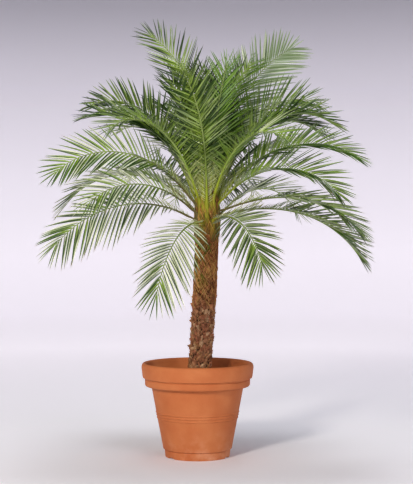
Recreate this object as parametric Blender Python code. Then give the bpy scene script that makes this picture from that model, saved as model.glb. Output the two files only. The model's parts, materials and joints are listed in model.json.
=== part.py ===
"""A phoenix palm in a terracotta pot, at its real size, in metres, with +Z up.

The origin is the middle of the pot's flat underside. +X is the viewer's right and +Y points
away from the viewer. Every frond is one blade whose outline is cut to the rib between its
leaflets, and stands a hair's breadth off the head of the trunk.
"""

import math
import random
from collections import namedtuple

import bmesh
import bpy
from mathutils import Matrix, Vector
from mathutils.bvhtree import BVHTree

# Pot
POT_HEIGHT = 0.386
POT_FOOT_RADIUS = 0.133
POT_SHOULDER_RADIUS = 0.190
POT_RIM_RADIUS = 0.231
POT_WALL = 0.013
POT_FLOOR = 0.020
POT_SIDES = 40
EDGE_ROUND = 0.004
FOOT_BAND_HEIGHT = 0.034
FOOT_BAND_FLARE = 0.0025
WALL_STEP = 0.0085
SHOULDER_HEIGHT = 0.290
BEAD_RADIUS = 0.217
BEAD_ROUND = 0.010
BEAD_TOP = 0.319
RIM_BOTTOM = 0.325
RIM_FLARE = 0.005
RIM_THICKNESS = 0.022
RIM_ROUND = 0.020
RIB_HEIGHTS = (0.161, 0.173, 0.184)
RIB_RELIEF = 0.0022
RIB_HALF_WIDTH = 0.005
NOTCH_COUNT = 3
NOTCH_WIDTH = 0.030
NOTCH_REACH = 0.020
NOTCH_HEIGHT = 0.006
FIRST_NOTCH_BEARING = 216

# Potting mix, and the hair's breadth that parts keep from each other
SOIL_TOP = 0.316
GAP = 0.0003

# Trunk
TRUNK_RADIUS = 0.0475
ROOT_FLARE = 0.010
ROOT_FLARE_HEIGHT = 0.030
TRUNK_FOOT_X = 0.004
TRUNK_OFFSET = 0.036
LEAN_POWER = 1.5
LEAN_END = 0.955
HEAD_START = 0.985
HEAD_HEIGHT = 0.140
HEAD_TIP_SHARE = 0.985
TRUNK_SIDES = 28
TRUNK_RINGS = 18
HEAD_RINGS = 8
STUB_RELIEF = 0.0022
STUBS_START = 0.320
STUBS_END = 0.900

# Fronds
PETIOLE_SHARE = 0.17
PETIOLE_STEPS = 4
PETIOLE_TAPER = 1.6
BLADE_END_SHARE = 0.985
LEAFLETS = 34
FOOT_WIDTH = 0.023
FOOT_DEPTH = 0.010
YOUNG_FOOT_LOSS = 0.45
RIB_WIDTH = 0.0085
RIB_DEPTH = 0.0065
TIP_WIDTH = 0.0030
TIP_DEPTH = 0.0026
LEAFLET_LENGTH = 0.172
FIRST_LEAFLET_SHARE = 0.45
LAST_LEAFLET_SHARE = 0.46
LONGEST_LEAFLET_AT = 0.32
LEAFLET_FALL = 3.5
LEAFLET_ANGLE_AT_PETIOLE = 62
LEAFLET_ANGLE_AT_TIP = 32
BACK_LIFT = 30
YOUNG_LIFT = 20
LOW_SAG = 0.15
TALL_SAG = 0.08
ANGLE_JITTER = 3.0
LENGTH_JITTER = 0.05
SHORTER = (1.0, 0.78, 0.58, 0.40)
CLEARANCE = 0.0012
RIB_WALK_STEPS = 120
GOLDEN_SHARE = 0.618034
GOLDEN_ANGLE = 137.5
SEED = 11

# Each frond's seat is its share of the way up the head of the trunk. Its bearing is in degrees
# from +X towards +Y, so 180 is the viewer's left and 270 is towards the viewer. It leaves the
# trunk at the angle rise above the ground and has turned down by droop at its tip: evenly if
# bend is 1, and mostly in its outer part if bend is 2. It turns sideways by swing, and its
# blade rolls about its rib by roll on the way. Its leaflets stand up from the blade by lift, and
# their tips hang by sag, which is a share of their length.
Frond = namedtuple("Frond", "name seat bearing rise droop bend length swing roll lift sag")

SHOWN_FRONDS = (
    Frond("low_left", -0.10, 200, 33, 84, 0.95, 0.66, 0, -70, 20, 0.34),
    Frond("low_front_left", -0.14, 247, 5, 71, 0.90, 0.56, 0, -34, 20, 0.36),
    Frond("low_front_right", -0.08, 300, 20, 88, 0.90, 0.46, 0, 40, 20, 0.20),
    Frond("low_right", 0.06, 352, 15, 74, 1.30, 0.65, 0, 16, 34, 0.12),
    Frond("mid_right", 0.16, 332, 19, 66, 1.50, 0.66, 0, 8, 22, 0.18),
    Frond("mid_left", 0.08, 214, 40, 84, 1.35, 0.54, -10, -50, 20, 0.24),
    Frond("arched_left", 0.16, 178, 54, 110, 1.10, 0.64, 0, -10, 25, 0.15),
    Frond("wide_left", 0.32, 203, 53, 97, 1.35, 0.69, -8, -60, 20, 0.14),
    Frond("arched_right", 0.36, 340, 50, 102, 1.20, 0.59, 0, 35, 28, 0.10),
    Frond("wide_right", 0.46, 2, 55, 90, 1.35, 0.68, 0, 30, 22, 0.12),
    Frond("shoulder_right", 0.42, 30, 71, 112, 1.60, 0.72, 0, 20, 30, 0.08),
    Frond("far_right", 0.72, 0, 68, 107, 1.70, 0.66, 0, 25, 30, 0.08),
    Frond("front_right", 0.54, 309, 68, 102, 1.35, 0.58, 0, 20, 20, 0.10),
    Frond("upper_right", 0.60, 19, 75, 92, 1.70, 0.68, 0, 60, 20, 0.08),
    Frond("upper_left", 0.58, 160, 69, 86, 1.90, 0.69, 0, -50, 20, 0.08),
    Frond("shoulder_left", 0.45, 181, 69, 90, 1.80, 0.64, 0, -30, 25, 0.08),
    Frond("front_left", 0.38, 228, 67, 106, 1.60, 0.69, 0, -15, 20, 0.10),
    Frond("tall_right", 0.66, 38, 77, 56, 1.60, 0.81, 0, 62, 20, 0.08),
    Frond("tall_left", 0.14, 268, 86, 60, 1.30, 0.83, -52, 35, 20, 0.08),
    Frond("spear_right", 0.84, 38, 79, 48, 3.00, 0.60, 0, 40, 20, 0.08),
    Frond("inner_front", 0.50, 250, 81, 26, 1.40, 0.54, 0, 0, 20, 0.08),
    Frond("inner_left", 0.66, 234, 81, 40, 1.40, 0.50, 0, 0, 20, 0.08),
)


def sine(degrees):
    return math.sin(math.radians(degrees))


def cosine(degrees):
    return math.cos(math.radians(degrees))


def blend(a, b, share):
    return a + (b - a) * share


def clear_scene():
    for thing in list(bpy.data.objects):
        bpy.data.objects.remove(thing)


def plain_material(name, colour, roughness):
    material = bpy.data.materials.new(name)
    material.use_nodes = True
    shader = material.node_tree.nodes["Principled BSDF"]
    shader.inputs["Base Color"].default_value = (*colour, 1.0)
    shader.inputs["Roughness"].default_value = roughness
    shader.inputs["Metallic"].default_value = 0.0
    return material


def add_object(name, bm, material, smooth_angle=None):
    """Turns the working mesh into a named object with its material."""
    mesh = bpy.data.meshes.new(name)
    bm.to_mesh(mesh)
    bm.free()
    mesh.materials.append(material)
    if smooth_angle is not None:
        mesh.shade_smooth()
        mesh.set_sharp_from_angle(angle=math.radians(smooth_angle))
    thing = bpy.data.objects.new(name, mesh)
    bpy.context.scene.collection.objects.link(thing)
    return thing


def turned(profile, sides):
    """A closed mesh turned about Z from a (radius, height) profile that starts and ends on the axis."""
    bm = bmesh.new()
    verts = [bm.verts.new((radius, 0, height)) for radius, height in profile]
    edges = [bm.edges.new(pair) for pair in zip(verts, verts[1:])]
    bmesh.ops.spin(
        bm,
        geom=verts + edges,
        axis=(0, 0, 1),
        cent=(0, 0, 0),
        angle=math.tau,
        steps=sides,
        use_merge=True,
    )
    bmesh.ops.remove_doubles(bm, verts=bm.verts, dist=1e-5)
    bmesh.ops.recalc_face_normals(bm, faces=bm.faces)
    return bm


# The pot

def wall_radius(height):
    """Outer radius of the pot's plain tapering wall."""
    share = (height - FOOT_BAND_HEIGHT) / (SHOULDER_HEIGHT - FOOT_BAND_HEIGHT)
    return blend(POT_FOOT_RADIUS + WALL_STEP, POT_SHOULDER_RADIUS, share)


def inner_radius(height):
    """Inner radius of the pot's wall, below the rim."""
    return wall_radius(height) - POT_WALL


def pot_profile():
    """The pot's section from the middle of its underside, up its outside and down its inside."""
    foot = [
        (0, 0),
        (POT_FOOT_RADIUS - EDGE_ROUND, 0),
        (POT_FOOT_RADIUS, EDGE_ROUND),
        (POT_FOOT_RADIUS + FOOT_BAND_FLARE, FOOT_BAND_HEIGHT - EDGE_ROUND),
        (wall_radius(FOOT_BAND_HEIGHT), FOOT_BAND_HEIGHT),
    ]
    ribs = []
    for height in RIB_HEIGHTS:
        below = height - RIB_HALF_WIDTH
        ribs.append((wall_radius(below), below))
        ribs.append((wall_radius(height) + RIB_RELIEF, height))
    above = RIB_HEIGHTS[-1] + RIB_HALF_WIDTH
    ribs.append((wall_radius(above), above))
    bead = [
        (POT_SHOULDER_RADIUS, SHOULDER_HEIGHT),
        (BEAD_RADIUS - BEAD_ROUND, SHOULDER_HEIGHT - GAP),
        (BEAD_RADIUS, SHOULDER_HEIGHT + BEAD_ROUND),
        (BEAD_RADIUS, BEAD_TOP),
    ]
    rim = [
        (POT_RIM_RADIUS - RIM_FLARE, RIM_BOTTOM),
        (POT_RIM_RADIUS, POT_HEIGHT - RIM_ROUND),
        (POT_RIM_RADIUS - 0.15 * RIM_THICKNESS, POT_HEIGHT - 0.35 * RIM_ROUND),
        (POT_RIM_RADIUS - 0.50 * RIM_THICKNESS, POT_HEIGHT),
        (POT_RIM_RADIUS - 0.85 * RIM_THICKNESS, POT_HEIGHT - 0.20 * RIM_ROUND),
        (POT_RIM_RADIUS - RIM_THICKNESS, POT_HEIGHT - 0.70 * RIM_ROUND),
    ]
    inside = [
        (inner_radius(RIM_BOTTOM), RIM_BOTTOM),
        (inner_radius(POT_FLOOR), POT_FLOOR),
        (0, POT_FLOOR),
    ]
    return foot + ribs + bead + rim + inside


def build_notch_cutters():
    """Blocks that cut the drainage notches in the lower edge of the foot."""
    cutters = bpy.data.collections.new("notch_cutters")
    bpy.context.scene.collection.children.link(cutters)
    size = Matrix.Diagonal((NOTCH_REACH, NOTCH_WIDTH, 2 * NOTCH_HEIGHT, 1))
    for number in range(NOTCH_COUNT):
        bearing = math.radians(FIRST_NOTCH_BEARING + number * 360 / NOTCH_COUNT)
        turn = Matrix.Rotation(bearing, 4, "Z")
        outwards = Matrix.Translation((POT_FOOT_RADIUS, 0, 0))
        bm = bmesh.new()
        bmesh.ops.create_cube(bm, size=1, matrix=turn @ outwards @ size)
        mesh = bpy.data.meshes.new("notch_cutter")
        bm.to_mesh(mesh)
        bm.free()
        cutter = bpy.data.objects.new(f"notch_cutter_{number + 1}", mesh)
        cutter.hide_render = True
        cutter.display_type = "WIRE"
        cutters.objects.link(cutter)
    return cutters


def build_pot(clay):
    pot = add_object("pot", turned(pot_profile(), POT_SIDES), clay, smooth_angle=30)
    cut = pot.modifiers.new("drainage notches", "BOOLEAN")
    cut.operation = "DIFFERENCE"
    cut.operand_type = "COLLECTION"
    cut.collection = build_notch_cutters()
    cut.solver = "EXACT"
    return pot


def build_soil(mix):
    """The potting mix that fills the pot up to the foot of the trunk."""
    profile = [
        (0, POT_FLOOR + GAP),
        (inner_radius(POT_FLOOR) - 2 * GAP, POT_FLOOR + GAP),
        (inner_radius(SOIL_TOP) - 2 * GAP, SOIL_TOP),
        (0, SOIL_TOP),
    ]
    return add_object("potting_mix", turned(profile, POT_SIDES), mix, smooth_angle=30)


# The trunk

def trunk_axis(height):
    """Middle of the trunk at a height: it leans at first and comes upright below its head."""
    share = (height - SOIL_TOP) / (LEAN_END - SOIL_TOP)
    share = min(max(share, 0.0), 1.0)
    offset = TRUNK_OFFSET * (1 - (1 - share) ** LEAN_POWER)
    return Vector((TRUNK_FOOT_X + offset, 0, height))


def trunk_radius(height, knob):
    """Radius at a height, with knob +1 on an old leaf stub, -1 between stubs and 0 for neither."""
    flare = ROOT_FLARE * max(0.0, 1 - (height - SOIL_TOP) / ROOT_FLARE_HEIGHT) ** 2
    stubs = STUB_RELIEF * knob if STUBS_START < height < STUBS_END else 0.0
    return TRUNK_RADIUS + flare + stubs


def head_point(seat):
    """(radius, height, slope) on the egg-shaped head: slope is how far its face looks upwards."""
    if seat <= 0:
        return TRUNK_RADIUS, HEAD_START + seat * HEAD_HEIGHT, 0.0
    angle = math.asin(min(seat, 1.0))
    radius = TRUNK_RADIUS * math.cos(angle)
    slope = math.atan2(math.sin(angle) / HEAD_HEIGHT, math.cos(angle) / TRUNK_RADIUS)
    return radius, HEAD_START + HEAD_HEIGHT * seat, math.degrees(slope)


def ring_of(middle, radii):
    """Points round a middle, one for each radius."""
    step = 360 / len(radii)
    return [
        middle + Vector((cosine(i * step), sine(i * step), 0)) * radius
        for i, radius in enumerate(radii)
    ]


def trunk_rings():
    rings = []
    for i in range(TRUNK_RINGS + 1):
        height = blend(SOIL_TOP + GAP, HEAD_START, i / TRUNK_RINGS)
        knobs = [1 if (i + side) % 2 else -1 for side in range(TRUNK_SIDES)]
        radii = [trunk_radius(height, knob) for knob in knobs]
        rings.append(ring_of(trunk_axis(height), radii))
    for i in range(1, HEAD_RINGS + 1):
        angle = math.asin(HEAD_TIP_SHARE) * i / HEAD_RINGS
        radius, height, _ = head_point(math.sin(angle))
        rings.append(ring_of(trunk_axis(height), [radius] * TRUNK_SIDES))
    return rings


def skin(rings):
    """A closed mesh over rings of points, with a flat face at each end."""
    bm = bmesh.new()
    loops = [[bm.verts.new(point) for point in ring] for ring in rings]
    for lower, upper in zip(loops, loops[1:]):
        count = len(lower)
        for i in range(count):
            j = (i + 1) % count
            bm.faces.new((lower[i], lower[j], upper[j], upper[i]))
    bm.faces.new(reversed(loops[0]))
    bm.faces.new(loops[-1])
    return bm


def build_trunk(bark):
    return add_object("trunk", skin(trunk_rings()), bark)


# The fronds

def back_fronds():
    """The fronds that the crown needs behind what the viewer sees, spaced by the golden angle."""
    count = 13
    first, spread = 52, 82
    fronds = []
    for i in range(count):
        share = (i * GOLDEN_SHARE) % 1
        age = i / (count - 1)
        fronds.append(
            Frond(
                f"back_{i + 1:02d}",
                blend(-0.12, 0.62, age),
                first + spread * share,
                blend(38, 75, age),
                blend(84, 78, age),
                1.4,
                blend(0.68, 0.74, math.sin(math.pi * age)),
                0,
                0,
                BACK_LIFT,
                blend(LOW_SAG, TALL_SAG, age),
            )
        )
    return fronds


def young_fronds():
    """The upright young leaves in the middle of the crown, spaced by the golden angle."""
    count = 6
    fronds = []
    for i in range(count):
        age = i / (count - 1)
        fronds.append(
            Frond(
                f"young_{i + 1}",
                blend(0.70, 0.95, age),
                292 + GOLDEN_ANGLE * i,
                blend(83, 86, age),
                blend(30, 14, age),
                1.4,
                blend(0.55, 0.47, age),
                0,
                0,
                YOUNG_LIFT,
                TALL_SAG,
            )
        )
    return fronds


def rib_frame(frond, place, share):
    """(middle, along, across, upwards) of the rib at a place that is a share of its length along."""
    rise = frond.rise - frond.droop * share**frond.bend
    bearing = frond.bearing + frond.swing * share
    along = Vector((cosine(rise) * cosine(bearing), cosine(rise) * sine(bearing), sine(rise)))
    roll = math.radians(frond.roll * min(1.0, 2 * share))
    level = Vector((-sine(bearing), cosine(bearing), 0))
    across = Matrix.Rotation(roll, 3, along) @ level
    return place, along, across, along.cross(across)


def rib_frames(frond, shares):
    """The rib's frames at the wanted shares of its length, walked from its foot in small steps."""
    radius, height, _ = head_point(frond.seat)
    outwards = Vector((cosine(frond.bearing), sine(frond.bearing), 0))
    place = trunk_axis(height) + outwards * radius
    frames = []
    for step in range(RIB_WALK_STEPS + 1):
        share = step / RIB_WALK_STEPS
        frame = rib_frame(frond, place, share)
        along = frame[1]
        while len(frames) < len(shares) and shares[len(frames)] <= share:
            back = (share - shares[len(frames)]) * frond.length
            frames.append((place - along * back, *frame[1:]))
        place = place + along * (frond.length / RIB_WALK_STEPS)
    return frames


def rib_size(share, seat):
    """(width, depth) of the rib: widest at its foot, narrower on a high seat, tapering to its tip."""
    if share < PETIOLE_SHARE:
        near = (1 - share / PETIOLE_SHARE) ** PETIOLE_TAPER
        foot_width = FOOT_WIDTH * (1 - YOUNG_FOOT_LOSS * max(seat, 0.0))
        return blend(RIB_WIDTH, foot_width, near), blend(RIB_DEPTH, FOOT_DEPTH, near)
    far = (share - PETIOLE_SHARE) / (1 - PETIOLE_SHARE)
    return blend(RIB_WIDTH, TIP_WIDTH, far), blend(RIB_DEPTH, TIP_DEPTH, far)


def rib_section(frame, share, seat):
    """The rib's three corners: its two upper edges and the keel under it."""
    middle, _, across, upwards = frame
    width, depth = rib_size(share, seat)
    return [
        middle + across * (width / 2),
        middle - across * (width / 2),
        middle - upwards * depth,
    ]


def seated(corners, frond, along):
    """Slides the foot's corners along the rib until they lie on the plane that touches the head."""
    radius, height, slope = head_point(frond.seat)
    outwards = Vector((cosine(frond.bearing), sine(frond.bearing), 0))
    facing = outwards * cosine(slope) + Vector((0, 0, sine(slope)))
    touch = trunk_axis(height) + outwards * radius + facing * GAP
    return [
        corner + along * ((touch - corner).dot(facing) / along.dot(facing))
        for corner in corners
    ]


def stations():
    """Shares of the rib's length with a ring: along the bare petiole, then one for each leaflet."""
    petiole = [PETIOLE_SHARE * i / PETIOLE_STEPS for i in range(PETIOLE_STEPS)]
    blade = [
        blend(PETIOLE_SHARE, BLADE_END_SHARE, i / LEAFLETS) for i in range(LEAFLETS + 1)
    ]
    return petiole + blade


def leaflet_length(share):
    """A leaflet's length by its share of the way along the blade: longest before the middle."""
    if share < LONGEST_LEAFLET_AT:
        grown = sine(90 * share / LONGEST_LEAFLET_AT)
        return LEAFLET_LENGTH * blend(FIRST_LEAFLET_SHARE, 1.0, grown)
    past = (share - LONGEST_LEAFLET_AT) / (1 - LONGEST_LEAFLET_AT)
    return LEAFLET_LENGTH * blend(1.0, LAST_LEAFLET_SHARE, past**LEAFLET_FALL)


def leaflet_direction(frame, lift, share, side, rng):
    """Which way a leaflet points, from its share of the way along the blade and its side."""
    _, along, across, upwards = frame
    spread = blend(LEAFLET_ANGLE_AT_PETIOLE, LEAFLET_ANGLE_AT_TIP, share)
    spread += rng.uniform(-ANGLE_JITTER, ANGLE_JITTER)
    lift += rng.uniform(-ANGLE_JITTER, ANGLE_JITTER)
    sideways = across * (side * cosine(lift)) + upwards * sine(lift)
    return along * cosine(spread) + sideways * sine(spread)


def room_taken(rings, leaflets=()):
    """What a frond's rib and its leaflets take up, for other fronds' leaflets to keep clear of."""
    count = len(rings[0])
    points = [point for ring in rings for point in ring]
    faces = []
    for low in range(0, len(points) - count, count):
        for i in range(count):
            j = (i + 1) % count
            faces.append((low + i, low + j, low + count + j, low + count + i))
    for corners, tip in leaflets:
        first = len(points)
        points += [*corners, tip]
        faces += [(first + i, first + (i + 1) % 4, first + 4) for i in range(4)]
    return BVHTree.FromPolygons(points, faces)


def swollen_leaflet(corners, tip):
    """A leaflet made a little thicker on every side, to test it for room."""
    middle = sum(corners, Vector()) / len(corners)
    spokes = [(corner - middle).normalized() * CLEARANCE for corner in corners]
    beyond = tip + (tip - middle).normalized() * CLEARANCE
    near = [corner + spoke for corner, spoke in zip(corners, spokes)]
    far = [beyond + spoke for spoke in spokes]
    faces = [(i, (i + 1) % 4, 4 + (i + 1) % 4, 4 + i) for i in range(4)]
    faces.append((4, 5, 6, 7))
    return BVHTree.FromPolygons(near + far, faces)


def has_room(corners, tip, others):
    tree = swollen_leaflet(corners, tip)
    return not any(tree.overlap(other) for other in others)


def frond_rings(frond):
    shares = stations()
    frames = rib_frames(frond, shares)
    rings = [rib_section(frame, share, frond.seat) for frame, share in zip(frames, shares)]
    rings[0] = seated(rings[0], frond, frames[0][1])
    return frames, rings


def leaflet_sites(frond, frames, rings, rng):
    """(face, corners, direction, length) of every leaflet on a rib, taken left and right in turn."""
    for i in range(LEAFLETS):
        ring = PETIOLE_STEPS + i
        share = (i + 0.5) / LEAFLETS
        side = 1 if i % 2 else -1
        edge = 0 if side > 0 else 1
        near, far = rings[ring], rings[ring + 1]
        corners = [near[edge], far[edge], far[2], near[2]]
        direction = leaflet_direction(frames[ring], frond.lift, share, side, rng)
        length = leaflet_length(share) * rng.uniform(1 - LENGTH_JITTER, 1 + LENGTH_JITTER)
        face_number = ring * len(near) + (2 if side > 0 else 1)
        yield face_number, corners, direction, length


def leaflet_tip(corners, direction, length, sag):
    return sum(corners, Vector()) / len(corners) + (direction - Vector((0, 0, sag))) * length


def build_frond(frond, frames, rings, others, green, rng):
    """One frond: a keeled rib whose side faces are drawn out to a point, one for each leaflet."""
    bm = skin(rings)
    faces = list(bm.faces)
    taken = []
    for face_number, corners, direction, length in leaflet_sites(frond, frames, rings, rng):
        for shorter in SHORTER:
            tip = leaflet_tip(corners, direction, length * shorter, frond.sag)
            if has_room(corners, tip, others):
                break
        else:
            continue
        made = bmesh.ops.poke(bm, faces=[faces[face_number]])
        made["verts"][0].co = tip
        taken.append((corners, tip))
    add_object(frond.name, bm, green)
    return taken


def build_fronds(green):
    fronds = [*SHOWN_FRONDS, *back_fronds(), *young_fronds()]
    rng = random.Random(SEED)
    plans = [frond_rings(frond) for frond in fronds]
    spaces = [room_taken(rings) for _, rings in plans]
    trunk_space = room_taken(trunk_rings())
    for i, frond in enumerate(fronds):
        frames, rings = plans[i]
        others = [trunk_space, *spaces[:i], *spaces[i + 1 :]]
        leaflets = build_frond(frond, frames, rings, others, green, rng)
        spaces[i] = room_taken(rings, leaflets)
        print(f"{frond.name}: {len(leaflets)} of {LEAFLETS} leaflets")


def main():
    clear_scene()
    clay = plain_material("terracotta", (0.56, 0.162, 0.056), 0.6)
    mix = plain_material("potting mix", (0.045, 0.028, 0.018), 0.95)
    bark = plain_material("palm bark", (0.19, 0.095, 0.042), 0.9)
    green = plain_material("palm leaf", (0.088, 0.17, 0.022), 0.5)
    build_pot(clay)
    build_soil(mix)
    build_trunk(bark)
    build_fronds(green)


main()
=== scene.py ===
# %% [markdown]
# # A phoenix palm in a clay pot
# The plant is a pygmy date palm: a slim trunk that carries the stubs of its old leaves, a head of
# arching feather fronds, and a turned clay pot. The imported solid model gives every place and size.
# Each solid is replaced here by a finer piece that follows the same rule, written again in this file.

# %% Load the solid model
import json
import math
from collections import namedtuple

import bmesh
import bpy
from mathutils import Matrix, Vector, noise

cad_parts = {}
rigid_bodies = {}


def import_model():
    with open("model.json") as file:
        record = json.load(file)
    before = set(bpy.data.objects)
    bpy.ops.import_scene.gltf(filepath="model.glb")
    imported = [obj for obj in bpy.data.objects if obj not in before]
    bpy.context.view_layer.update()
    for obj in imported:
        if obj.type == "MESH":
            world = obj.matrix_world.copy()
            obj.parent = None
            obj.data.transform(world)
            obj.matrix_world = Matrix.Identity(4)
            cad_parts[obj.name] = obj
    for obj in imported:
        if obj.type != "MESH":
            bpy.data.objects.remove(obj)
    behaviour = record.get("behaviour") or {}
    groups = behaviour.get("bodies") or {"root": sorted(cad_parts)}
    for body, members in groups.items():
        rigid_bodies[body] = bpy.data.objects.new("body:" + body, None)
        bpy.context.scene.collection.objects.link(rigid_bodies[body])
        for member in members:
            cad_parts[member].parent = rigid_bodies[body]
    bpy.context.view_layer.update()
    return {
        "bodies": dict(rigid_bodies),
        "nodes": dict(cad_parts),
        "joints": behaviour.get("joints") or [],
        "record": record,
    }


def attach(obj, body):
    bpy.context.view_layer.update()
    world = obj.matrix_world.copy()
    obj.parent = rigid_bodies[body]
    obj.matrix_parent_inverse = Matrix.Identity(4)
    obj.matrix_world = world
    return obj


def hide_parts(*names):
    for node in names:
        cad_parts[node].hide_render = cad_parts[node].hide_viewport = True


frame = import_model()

print("nodes in the solid model:", len(frame["nodes"]))

# %% [markdown]
# ## Small helpers
# Angles on a plant are easiest to read in degrees. Every mesh here is made from a list of points and
# faces, and may carry named numbers on its points, which node trees and materials read later.
# One function adds a node of any kind, sets its properties and fills or links its sockets. What a
# node leaves out keeps Blender's own default, such as the range from 0 to 1.

# %% Angles and blending
def sine(degrees):
    return math.sin(math.radians(degrees))


def cosine(degrees):
    return math.cos(math.radians(degrees))


def blend(a, b, share):
    return a + (b - a) * share


def limited(value, low=0.0, high=1.0):
    return min(max(value, low), high)


# %% Meshes from points and faces
def scene_object(name, data):
    """An object in the scene that shows a mesh, a light or a camera."""
    thing = bpy.data.objects.new(name, data)
    bpy.context.scene.collection.objects.link(thing)
    return thing


def new_object(name, points, edges=(), faces=(), marks=None, materials=()):
    """A mesh object in the scene. Marks are named numbers or vectors, one for each point."""
    mesh = bpy.data.meshes.new(name)
    mesh.from_pydata([tuple(point) for point in points], list(edges), list(faces))
    for mark, values in (marks or {}).items():
        if isinstance(values[0], Vector):
            data = mesh.attributes.new(mark, "FLOAT_VECTOR", "POINT").data
            data.foreach_set("vector", [number for value in values for number in value])
        else:
            data = mesh.attributes.new(mark, "FLOAT", "POINT").data
            data.foreach_set("value", values)
    for material in materials:
        mesh.materials.append(material)
    mesh.update()
    return scene_object(name, mesh)


def circle(radius, height, sides):
    """Points of a level circle round Z."""
    turns = [360 * side / sides for side in range(sides)]
    return [Vector((radius * cosine(turn), radius * sine(turn), height)) for turn in turns]


def disc_faces(sides, rings):
    """Faces of a disc: a fan round point 0, and then bands between rings of points."""
    faces = [(0, 1 + i, 1 + (i + 1) % sides) for i in range(sides)]
    for low in range(1, 1 + sides * (rings - 1), sides):
        for i in range(sides):
            j = (i + 1) % sides
            faces.append((low + i, low + sides + i, low + sides + j, low + j))
    return faces


def tube_faces(first, sides, rings):
    """Faces of a closed tube over rings of points that are numbered from first on."""
    faces = []
    for low in range(first, first + sides * (rings - 1), sides):
        for i in range(sides):
            j = (i + 1) % sides
            faces.append((low + i, low + j, low + sides + j, low + sides + i))
    end = first + sides * rings
    faces.append(tuple(reversed(range(first, first + sides))))
    faces.append(tuple(range(end - sides, end)))
    return faces


# %% Nodes, and pieces made with them
def add(tree, kind, inputs=None, stops=(), **settings):
    """Adds a node. An input is filled with a value, or linked from a socket or a node's first output.

    Stops are the positions and hex colours of a colour ramp.
    """
    node = tree.nodes.new(kind)
    for name, value in settings.items():
        setattr(node, name, value)
    if stops:
        elements = node.color_ramp.elements
        elements[0].position, elements[1].position = stops[0][0], stops[-1][0]
        for position, _ in stops[1:-1]:
            elements.new(position)
        for element, (_, colour) in zip(elements, stops):
            element.color = linear(colour)
    open_inputs = [socket for socket in node.inputs if socket.enabled]
    for key, value in (inputs or {}).items():
        if isinstance(key, int):
            socket = open_inputs[key]
        else:
            socket = next(socket for socket in open_inputs if socket.name == key)
        if isinstance(value, bpy.types.Node):
            value = next(output for output in value.outputs if output.enabled)
        if isinstance(value, bpy.types.NodeSocket):
            tree.links.new(value, socket)
        else:
            socket.default_value = value
    return node


def new_tree(name, inputs):
    """A geometry node tree with named inputs, and its input node."""
    tree = bpy.data.node_groups.new(name, "GeometryNodeTree")
    tree.interface.new_socket("Geometry", in_out="INPUT", socket_type="NodeSocketGeometry")
    for label, kind in inputs.items():
        tree.interface.new_socket(label, in_out="INPUT", socket_type="NodeSocket" + kind)
    tree.interface.new_socket("Geometry", in_out="OUTPUT", socket_type="NodeSocketGeometry")
    return tree, add(tree, "NodeGroupInput").outputs


def dealt_materials(tree, given, last, limits):
    """Sets other materials on the faces whose tone is below or above a limit."""
    tone = add(tree, "GeometryNodeInputNamedAttribute", {"Name": "tone"})
    for name, test, limit in limits:
        some = add(tree, "FunctionNodeCompare", {0: tone, 1: limit}, operation=test)
        last = add(tree, "GeometryNodeSetMaterial", {
            "Geometry": last, "Selection": some, "Material": given[name],
        })
    return last


def made_by(tree, name, start, values):
    """Runs a node tree on a start object and keeps the result as a plain mesh object."""
    modifier = start.modifiers.new(tree.name, "NODES")
    modifier.node_group = tree
    for item in tree.interface.items_tree:
        if item.in_out == "INPUT" and item.name in values:
            modifier[item.identifier] = values[item.name]
    depsgraph = bpy.context.evaluated_depsgraph_get()
    result = start.evaluated_get(depsgraph)
    mesh = bpy.data.meshes.new_from_object(
        result, preserve_all_data_layers=True, depsgraph=depsgraph
    )
    mesh.name = name
    start.modifiers.remove(modifier)
    return scene_object(name, mesh)


def settle(piece, slot, *solids):
    """Fixes a finished piece to the plant and hides the solids that it stands for. The slot is not used.
    """
    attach(piece, "root")
    if solids:
        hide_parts(*solids)
    mesh = piece.data
    mesh.calc_loop_triangles()
    print(f"{piece.name}: {len(mesh.loop_triangles)} triangles")


# %% [markdown]
# ## Camera and studio
# The photograph was taken from 5.5 m in front with a long lens, a little below the middle of the
# plant, and the plant stands in a seamless white studio. A turned sweep of pale floor and wall round
# the plant gives every view that background. The paper is painted grey high up as shade, where the
# lights don't reach, and glows as painted light, most away from the plant and low on the wall.
# The main light is a round soft box at the left front, small enough for a clear shadow on the floor.
# A wide weak one fills from the right, and one above the crown edges the leaves.

# %% Camera
CAMERA_PLACE = (0.037, -5.5, 0.95)
CAMERA_TILT = 0.70
LENS = 99.3

camera = scene_object("camera", bpy.data.cameras.new("camera"))
camera.data.lens = LENS
camera.location = CAMERA_PLACE
camera.rotation_euler = (math.radians(90 - CAMERA_TILT), 0, 0)
bpy.context.scene.camera = camera
print("camera at", CAMERA_PLACE, "with a lens of", LENS, "mm")


# %% Colours
def linear(hex_colour):
    """An sRGB hex colour as the linear red, green, blue and alpha that sockets take."""
    parts = [int(hex_colour[i : i + 2], 16) / 255 for i in (0, 2, 4)]
    return (*[p / 12.92 if p <= 0.04045 else ((p + 0.055) / 1.055) ** 2.4 for p in parts], 1.0)


def new_material(name, colour, roughness, specular=0.5):
    """A material with one main shader, and the two sockets that patterns start from."""
    material = bpy.data.materials.new(name)
    material.use_nodes = True
    tree = material.node_tree
    shader = tree.nodes["Principled BSDF"]
    shader.inputs["Base Color"].default_value = linear(colour)
    shader.inputs["Roughness"].default_value = roughness
    shader.inputs["Specular IOR Level"].default_value = specular
    place = add(tree, "ShaderNodeTexCoord").outputs["Object"]
    return material, tree, shader, place


def per_metre(millimetres):
    """The scale of a noise pattern from the real size of one patch, in whole patches per metre."""
    return round(1000 / millimetres)


def paint(tree, shader, colour, *layers):
    """Lays hex colours over a first one, each by its share, and gives the last mix to the shader."""
    for share, over in layers:
        mix = add(tree, "ShaderNodeMix", {0: share, 1: colour, 2: linear(over)}, data_type="RGBA")
        colour = mix.outputs[2]
    tree.links.new(colour, shader.inputs["Base Color"])


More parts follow.
